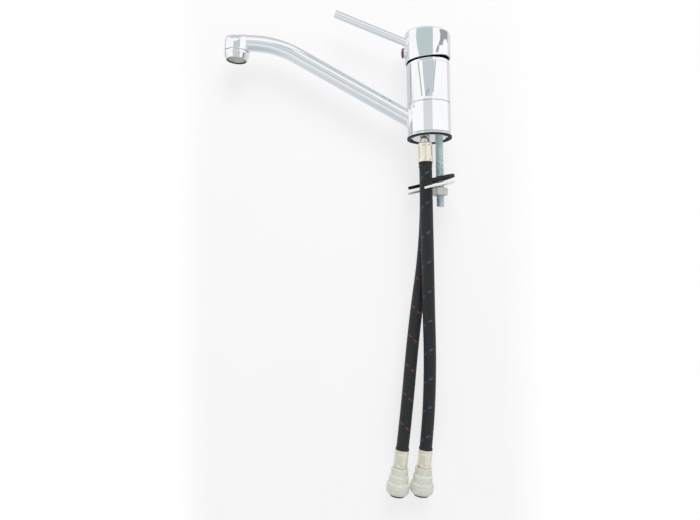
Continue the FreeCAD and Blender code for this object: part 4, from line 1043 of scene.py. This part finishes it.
@dataclass
class Tail:
    """Braided hose with a crimped ferrule at each end and a push-fit pipe connector."""

    side: Side
    tracer: tuple
    tracer_strand: int
    weave_shift: tuple = (0.05, -0.137)
    hose_r: float = 6.2
    relief: float = 0.34
    pitch: float = 28.5
    strands: int = 12
    columns: int = 72
    step: float = 0.32
    ferrule_r: float = 6.9
    upper_l: float = 19.0
    lower_l: float = 17.6
    neck_r: float = 4.4
    bead: float = 3.4
    ferrule_top: float = -5.5
    closed_t: float = 0.6
    swell: float = 0.75
    squeeze: float = 0.45

    def __post_init__(self) -> None:
        """Reads the hose's line from the route's spline."""
        self.points = np.array(ROUTES[self.side])
        self.spine = self.read_spline()
        self.way = unit(self.points[-1] - self.points[-2])
        self.end = self.points[-1] + self.way * self.closed_t

    def read_spline(self) -> Array:
        """Evenly spaced points of the NURBS spline through the route's control points."""
        curve = bpy.data.curves.new("route", "CURVE")
        curve.dimensions = "3D"
        curve.resolution_u = 40
        spline = curve.splines.new("NURBS")
        spline.points.add(len(self.points) - 1)
        weighted = np.insert(self.points * MM, 3, 1.0, axis=1)
        spline.points.foreach_set("co", weighted.ravel())
        spline.order_u = 3
        spline.use_endpoint_u = True
        holder = bpy.data.objects.new("route", curve)
        mesh = bpy.data.meshes.new_from_object(holder)
        co = np.zeros(len(mesh.vertices) * 3)
        mesh.vertices.foreach_get("co", co)
        co = co.reshape(-1, 3) / MM
        bpy.data.objects.remove(holder)
        bpy.data.meshes.remove(mesh)
        bpy.data.curves.remove(curve)
        run = run_along(co)
        s = np.linspace(0, run[-1], int(run[-1] / self.step))
        return np.stack([np.interp(s, run, co[:, k]) for k in range(3)], -1)

    def weave(self, u: Array, v: Array) -> dict[str, Array]:
        """Two-over, two-under braid of two families of strands.

        Strand numbers are a = n (v + u) and b = n (v - u). A strand's crown is a half ellipse
        across it, and its lift a cosine of four strands of the other family.

        Args:
            u: turns round the hose.
            v: pitches along it.

        Returns:
            Grids of height, family on top, lift and tracer, each from 0 to 1.
        """
        n = self.strands
        a, b = n * (v + u), n * (v - u)
        ia, ib = np.floor(a), np.floor(b)
        crown = [np.sqrt(np.clip(1 - (1.9 * (s - np.floor(s) - 0.5)) ** 2, 0, 1)) for s in (a, b)]
        lift = [0.5 + 0.5 * np.cos(TAU * s / 4) for s in (b + ia - 1.0, a + ib - 3.0)]
        high = [c * 0.55 + h * 0.45 * np.minimum(1, 3 * c) for c, h in zip(crown, lift)]
        over = high[0] >= high[1]
        own = ia if self.side is Side.COLD else ib
        mine = over if self.side is Side.COLD else ~over
        tracer = mine & (np.mod(own, n) == self.tracer_strand)
        return {"lift": np.maximum(*high), "family": over * 1.0, "tracer": tracer * 1.0}

    def hose(self) -> Skin:
        """Braided tube: the spine's point plus the radius times cos(a) N + sin(a) B.

        N is the world's X made square to the line, so the tube doesn't twist. It swells just
        past each ferrule and is squeezed inside it.
        """
        line = self.spine
        way = unit(np.gradient(line, axis=0))
        n = unit((1.0, 0.0, 0.0) - way[:, :1] * way)
        b = np.cross(n, way)
        s = run_along(line)
        angle = around(self.columns)[None]
        turn, rise = self.weave_shift
        u, v = np.broadcast_arrays(angle / TAU + turn, s[:, None] / self.pitch + rise)
        marks = self.weave(u, v)
        past = np.minimum(s - self.upper_l, s[-1] - s - self.lower_l) + self.closed_t
        bulge = self.swell * np.exp(-(past - 0.9) ** 2) * (past > 0)
        bulge -= self.squeeze * smooth(-past, -0.1, 0.8)
        radius = self.hose_r - self.relief * (1 - marks["lift"]) + bulge[:, None]
        round_it = polar(radius, angle, 0 * radius)
        grid = line[:, None] + round_it[..., :1] * n[:, None] + round_it[..., 1:2] * b[:, None]
        return Skin("braided_hose_" + self.side.value).add(grid, along=s / self.pitch, **marks)

    def ferrule(self, length: float) -> Array:
        """Crimped sleeve from its closed end at z = 0 down to its open mouth.

        Between its two beads the radius is kept within eight flats, which fade in and out.

        Args:
            length: from the closed end to the mouth.

        Returns:
            Grid of points.
        """
        r, t = self.ferrule_r, self.closed_t
        bead = length - self.bead
        s = np.linspace(2.4, bead + 0.6, 26)
        wall = np.stack([r + 0 * s, -s], -1)
        head = [(self.neck_r, 0.0), (r - 0.9, 0.0, 0.3), (r, -0.95, 0.45), (r, -2.4)]
        mouth = [(r, -bead - 1.0), (r, -length, 0.35), (self.hose_r, -length),
                 (self.hose_r, -t - 8.0), (5.6, -t - 4.0), (5.6, -t), (self.neck_r, -t)]
        outline = np.vstack([rounded(head, closed=False), wall, rounded(mouth, closed=False)])

        def crimp(radius: Array, height: Array, angle: Array) -> Array:
            """Flats of the crimping jaws."""
            depth = smooth(-height, 2.6, 4.0) * smooth(height, -bead, -bead + 1.3)
            depth *= radius > self.hose_r + 0.3
            part = np.mod(angle, TAU / 8) - TAU / 16
            flat = np.minimum(r - 0.12, (r - 0.42) / np.cos(part))
            return radius + depth * (flat - radius)

        return turned(outline, 160, crimp)

    def connector_body(self) -> Array:
        """Moulded body along -Z from the ferrule: three soft steps, then its bores back up."""
        steps = [(self.neck_r, 0.0), (8.4, 0.0, 0.85), (8.4, -7.35, 0.25), (9.5, -7.5, 0.8),
                 (9.5, -14.5, 0.3), (11.3, -14.7, 1.0), (11.3, -18.4, 0.12)]
        bores = [(8.4, -18.4), (8.4, -14.6), (6.1, -14.6), (6.1, -9.0), (2.2, -9.0), (2.2, -7.5),
                 (self.neck_r, -7.5)]
        return turned(rounded(steps + bores), 128)

    def connector_cap(self) -> Array:
        """End cap with a ridge at its seam and a rounded-in mouth."""
        corners = [(9.0, -18.4), (11.5, -18.4, 0.2), (11.5, -19.8, 0.2), (11.3, -20.1, 0.1),
                   (11.3, -23.4, 1.4), (8.9, -25.8, 1.0), (7.35, -25.8, 0.25), (7.35, -23.4),
                   (8.2, -23.4), (8.2, -19.0), (9.0, -19.0)]
        return turned(rounded(corners, steps=7), 128)

    def collet(self) -> Array:
        """Release ring with an eased rim, standing out of the mouth."""
        corners = [(6.1, -21.2), (7.9, -21.2), (7.9, -23.35), (7.3, -23.35), (7.3, -27.6, 0.4),
                   (6.1, -27.6, 0.4)]
        return turned(rounded(corners), 96)

    def make(self) -> None:
        side, end, way = self.side.value, self.end, self.way
        braid = replace(BRAID, tracer=self.tracer, title="braid " + side)
        hose = self.hose().build(braid, "base", "hose_" + side, sharp=180.0, weighted=False,
                                 mapped=True)
        top = (*self.points[0][:2], self.ferrule_top)
        lower = moved(self.ferrule(self.lower_l), end, -way)
        ring_body = "collet_" + side
        parts = [
            ("upper_crimp_", self.ferrule(self.upper_l) + top, FERRULE, "base", "upper_ferrule_"),
            ("lower_crimp_", lower, FERRULE, "base", "lower_ferrule_"),
            ("push_fit_body_", moved(self.connector_body(), end, way), GREY, "base",
             "connector_body_"),
            ("push_fit_cap_", moved(self.connector_cap(), end, way), GREY, "base",
             "connector_cap_"),
            ("release_ring_", moved(self.collet(), end, way), DARK, ring_body, "collet_"),
        ]
        made = [Skin(name + side).add(grid, ring=True).build(finish, body, node + side)
                for name, grid, finish, body, node in parts]
        made += [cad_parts[name + side] for name in (
            "connector_barb_", "connector_seal_", "grab_ring_", "tail_nipple_", "tail_o_ring_")]


# Studio

NEAR_HEAD = (0.1, (-188.4, 90.0))
NEAR_BASE = (0.45, (0.0, 82.0))
WHITE_LIGHT = (1.0, 1.0, 1.0, 1.0)


def pose(right: Array, up: Array, back: Array, place: Array) -> Matrix:
    """Matrix of something that looks against back, from its axes and its place."""
    turn = np.eye(4)
    turn[:3] = np.stack([right, up, back, place], -1)
    return Matrix(turn.tolist())


def bare_material(name: str) -> tuple[bpy.types.Material, Wiring, Socket]:
    """Material without a shader, its wiring and the socket for its surface."""
    made = bpy.data.materials.new(name)
    made.use_nodes = True
    nodes = made.node_tree.nodes
    nodes.remove(nodes["Principled BSDF"])
    return made, Wiring(made.node_tree), nodes["Material Output"].inputs[0]


def stage_piece(name: str, points: list, faces: list,
                material: bpy.types.Material) -> bpy.types.Object:
    """Piece of the studio, a mesh with one material."""
    mesh = bpy.data.meshes.new(name)
    mesh.from_pydata(points, [], faces)
    mesh.materials.append(material)
    piece = add_object(name, mesh)
    return piece


@dataclass(frozen=True)
class Lamp:
    """A square area lamp round the tap's middle, in degrees, metres and watts."""

    name: str
    azimuth: float
    elevation: float
    distance: float
    size: float
    watts: float


@dataclass(frozen=True)
class Card:
    """A reflection card, seen only by glossy rays.

    Its strips are rows of (elevation, left azimuth, right azimuth) in degrees, on an upright
    drum of the given radius in metres round a point (x, z) in millimetres.
    """

    name: str
    tone: tuple
    strips: tuple
    distance: float = 20.0
    centre: tuple = (0.0, 0.0)


@dataclass(frozen=True)
class Tent:
    """What plating mirrors behind the cards: tones by elevation, in front and on each side."""

    front: tuple = ((-90, (178, 187, 193)), (-66, (184, 194, 200)), (-52, (205, 210, 214)),
                    (-40, (220, 223, 225)), (-30, (244, 246, 246)), (-22, (216, 219, 222)),
                    (-12, (200, 205, 208)), (2, (202, 208, 211)), (8, (244, 246, 247)),
                    (13, (254, 254, 255)), (37, (254, 254, 255)), (46, (240, 243, 243)),
                    (53, (212, 217, 218)), (62, (196, 202, 204)), (90, (206, 210, 212)))
    left: tuple = ((-90, (180, 189, 196)), (-58, (186, 195, 201)), (-46, (208, 213, 217)),
                   (-8, (218, 222, 225)), (12, (206, 211, 216)), (20, (205, 211, 215)),
                   (21.5, (219, 220, 222)), (45, (202, 207, 209)), (90, (206, 210, 212)))
    right: tuple = ((-90, (186, 194, 201)), (-20, (206, 210, 214)), (8, (225, 225, 226)),
                    (30, (224, 225, 226)), (45, (198, 203, 205)), (90, (206, 210, 212)))
    side: float = 112.0
    blur: float = 4.0


@dataclass
class Studio:
    """Camera, pale sheet, soft lamps, tent and reflection cards."""

    eye: tuple = (-0.0794, -0.5580, -0.1367)
    pitch: float = 1.96
    yaw: float = -0.11
    roll: float = -1.00
    lens: float = 29.32
    paper_y: float = 0.0252
    paper_x: tuple = ((-0.258, -0.228), (0.114, 0.074))
    paper_z: tuple = ((-0.62, -0.48), (0.26, 0.18))
    paper_tones: tuple = ((248, 248, 249), (251, 251, 252))
    glow: float = 0.74
    even: float = 0.66
    middle: tuple = (-0.05, 0.0, -0.10)
    lamps: tuple = (Lamp("key", 14.0, 50.0, 1.4, 0.8, 11.0),
                    Lamp("back", 160.0, 30.0, 1.4, 1.0, 7.0))
    tent: Tent = Tent()
    cards: tuple = (
        Card("patch_high", (190, 203, 205),
             (((24.6, -73, 21), (23.2, -66, 20), (22.3, -59, 18.7), (21.25, -49, 17.5)),)),
        Card("patch_middle", (197, 206, 208),
             (((21.25, -38, 29), (19.8, -34, 22), (17.75, -26, 12)),)),
        Card("patch_low", (219, 220, 222), (((17.6, -37, 11), (8.0, -38, 9.5)),)),
        Card("frame_left", (176, 178, 176), (((21.2, -66, -59), (17.8, -46, -40)),)),
        Card("frame_right", (180, 185, 185), (((21.2, 32, 39), (18.1, 14, 19)),)),
        Card("arch", (176, 181, 183),
             (((18.45, -12, 0), (18.2, -20, -3), (17.8, -24, -14)),), 19.0),
        Card("screen", (160, 160, 163),
             (((23.9, 55.8, 115), (23.4, 61, 115), (22.9, 58, 113)),
              ((22.9, 58, 92), (22.4, 48, 74), (21.75, 33, 47)),
              ((22.9, 102, 113), (22.6, 108, 113)))),
        Card("edge_left", (178, 184, 188), (((21.0, -122, -108), (10.0, -122, -108)),)),
        Card("head_left", (252, 252, 252), (((32.0, -70, -21), (14.0, -70, -21)),), *NEAR_HEAD),
        Card("head_right", (190, 203, 205), (((32.0, 15, 34), (14.0, 15, 34)),), *NEAR_HEAD),
        Card("head_roof", (252, 252, 252), (((70.0, -80, 80), (42.0, -80, 80)),), *NEAR_HEAD),
        Card("low_left", (252, 252, 252), (((3.0, -120, -50), (-18.0, -120, -50)),), *NEAR_BASE),
        Card("low_right", (250, 250, 250), (((3.0, 22, 56), (-18.0, 22, 56)),), *NEAR_BASE),
        Card("low_dark", (84, 88, 90), (((3.0, 66, 80), (-18.0, 66, 80)),), *NEAR_BASE),
    )

    def camera(self) -> None:
        """Camera at the photograph's place: forward F, right R and up U from yaw, pitch, roll."""
        yaw, pitch, roll = (math.radians(a) for a in (self.yaw, self.pitch, self.roll))
        forward = np.array([math.sin(yaw) * math.cos(pitch), math.cos(yaw) * math.cos(pitch),
                            math.sin(pitch)])
        level = np.array([math.cos(yaw), -math.sin(yaw), 0.0])
        rise = np.cross(level, forward)
        right = math.cos(roll) * level + math.sin(roll) * rise
        up = -math.sin(roll) * level + math.cos(roll) * rise
        data = bpy.data.cameras.new("camera")
        data.sensor_fit = "HORIZONTAL"
        data.sensor_width = 36.0
        data.lens = self.lens
        data.clip_start = 0.01
        camera = add_object("camera", data)
        camera.matrix_world = pose(right, up, -forward, self.eye)
        bpy.context.scene.camera = camera

    def sheet(self) -> None:
        """Pale sheet behind the tap, clear from behind and fading out at its edges.

        Most of its tone is its own for the camera, so that shadows on it stay soft and faint.
        """
        made, w, surface = bare_material("Sheet")
        place = w.node("TexCoord").outputs["Object"]
        tone = w.mix(w.noise(place, 9.0, 3.0), *(linear(*tone) for tone in self.paper_tones))
        path = w.node("LightPath").outputs
        diffuse = w.node("BsdfDiffuse", {0: tone}).outputs[0]
        glow = w.node("Emission", {0: tone, 1: 1.0}).outputs[0]
        own = w.math("MULTIPLY", path["Is Camera Ray"], self.glow)
        paper = w.blend(own, diffuse, glow)
        clear = w.node("BsdfTransparent").outputs[0]
        x, _, z = w.node("SeparateXYZ", {0: place}).outputs
        edge_on = w.span(w.node("LayerWeight", {"Blend": 0.5}).outputs["Facing"], 0.55, 0.8)
        shares = [w.span(value, *fade) for value, fades in ((x, self.paper_x), (z, self.paper_z))
                  for fade in fades]
        shares += [w.math("SUBTRACT", 1.0, value) for value in (
            edge_on, path["Is Shadow Ray"], path["Is Glossy Ray"],
            w.node("NewGeometry").outputs["Backfacing"])]
        solid = 1.0
        for share in shares:
            solid = w.math("MULTIPLY", solid, share)
        w.feed(surface, w.blend(solid, clear, paper))
        low, high = -1.0, 0.9
        plan = ((low, low), (high, low), (high, high), (low, high))
        stage_piece("sheet", [(x, self.paper_y, z) for x, z in plan], [(0, 1, 2, 3)], made)

    @staticmethod
    def ramp(w: Wiring, height: Socket, stops: tuple) -> Socket:
        """Tones by elevation in degrees, from a height of 0 at -90 to 1 at 90."""
        made = w.node("ValToRGB", {0: height})
        elements = made.color_ramp.elements
        elements.remove(elements[1])
        for k, (elevation, tone) in enumerate(stops):
            element = elements[0] if k == 0 else elements.new((elevation + 90) / 180)
            element.position = (elevation + 90) / 180
            element.color = linear(*tone)
        return made.outputs[0]

    def world(self) -> None:
        """Plain world: white for the camera, the tent's bands for gloss, even light."""
        world = bpy.data.worlds.new("world")
        bpy.context.scene.world = world
        world.use_nodes = True
        tree = world.node_tree
        w = Wiring(tree)
        tree.nodes.clear()
        path = w.node("LightPath").outputs
        x, y, z = w.node("SeparateXYZ", {0: w.node("TexCoord").outputs["Generated"]}).outputs
        height = w.span(w.math("ARCSINE", z), -math.pi / 2, math.pi / 2, 0.0, 1.0)
        azimuth = w.math("ARCTAN2", x, w.math("MULTIPLY", y, -1.0))
        front, left, right = (self.ramp(w, height, stops) for stops in
                              (self.tent.front, self.tent.left, self.tent.right))
        rear = w.mix(w.math("GREATER_THAN", azimuth, 0.0), left, right)
        start, end = (math.radians(self.tent.side + k * self.tent.blur) for k in (-0.5, 0.5))
        tent = w.mix(w.span(w.math("ABSOLUTE", azimuth), start, end, 0.0, 1.0), front, rear)
        seen, gloss, even = (w.node("Background", {0: colour, 1: strength}).outputs[0]
                             for colour, strength in ((WHITE_LIGHT, 1.0), (tent, 1.0),
                                                      (WHITE_LIGHT, self.even)))
        first = w.blend(path["Is Glossy Ray"], even, gloss)
        second = w.blend(path["Is Camera Ray"], first, seen)
        w.feed(tree.nodes.new("ShaderNodeOutputWorld").inputs[0], second)

    def lamp(self, lamp: Lamp) -> None:
        """Area lamp aimed at the tap's middle, unseen in reflections."""
        a, e = math.radians(lamp.azimuth), math.radians(lamp.elevation)
        back = np.array([math.sin(a) * math.cos(e), -math.cos(a) * math.cos(e), math.sin(e)])
        side = unit(np.cross((0.0, 0.0, 1.0), back))
        data = bpy.data.lights.new(lamp.name, "AREA")
        data.size = lamp.size
        data.energy = lamp.watts
        piece = add_object(lamp.name, data)
        piece.matrix_world = pose(side, np.cross(back, side), back,
                                  self.middle + lamp.distance * back)
        piece.visible_glossy = False

    def card(self, card: Card) -> None:
        """Card on its drum, at its tone: a point is D (sin a, -cos a, tan e) off the centre."""
        points, faces, share = [], [], np.linspace(0, 1, 25)[None]
        centre = (card.centre[0] * MM, 0.0, card.centre[1] * MM)
        for strip in card.strips:
            e, start, end = np.radians(np.array(strip, float)).T[..., None]
            a = start + share * (end - start)
            grid = card.distance * np.stack([np.sin(a), -np.cos(a), np.tan(e) + 0 * a], -1)
            m = share.size
            at = np.arange(grid.shape[0] * m).reshape(-1, m) + len(points)
            corners = (at[:-1, :-1], at[:-1, 1:], at[1:, 1:], at[1:, :-1])
            faces += np.stack(corners, -1).reshape(-1, 4).tolist()
            points += (grid + centre).reshape(-1, 3).tolist()
        made, w, surface = bare_material("Card " + card.name)
        w.feed(surface, w.node("Emission", {0: linear(*card.tone), 1: 1.0}).outputs[0])
        piece = stage_piece("card_" + card.name, points, faces, made)
        piece.visible_camera = piece.visible_diffuse = piece.visible_shadow = False

    def make(self) -> None:
        """Sets up the camera, the light and the backdrop."""
        bpy.context.scene.view_settings.view_transform = "Standard"
        self.camera()
        self.sheet()
        self.world()
        for lamp in self.lamps:
            self.lamp(lamp)
        for card in self.cards:
            self.card(card)


def dress_solids() -> None:
    """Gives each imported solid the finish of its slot."""
    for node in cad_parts.values():
        for k, material in enumerate(node.data.materials):
            if material.name in {slot.value for slot in Slot}:
                node.data.materials[k] = BY_SLOT[Slot(material.name)].material()


def main() -> None:
    """Builds the whole scene in order."""
    logging.basicConfig(level=logging.INFO, format="%(name)s: %(message)s")
    Studio().make()
    Tail(Side.COLD, (62, 82, 110), 8).make()
    Tail(Side.HOT, (118, 58, 62), 9).make()
    dress_solids()
    Column().make()
    Spout().make()
    Handle().make()
    Clamp().make()


if __name__ == "__main__":
    main()
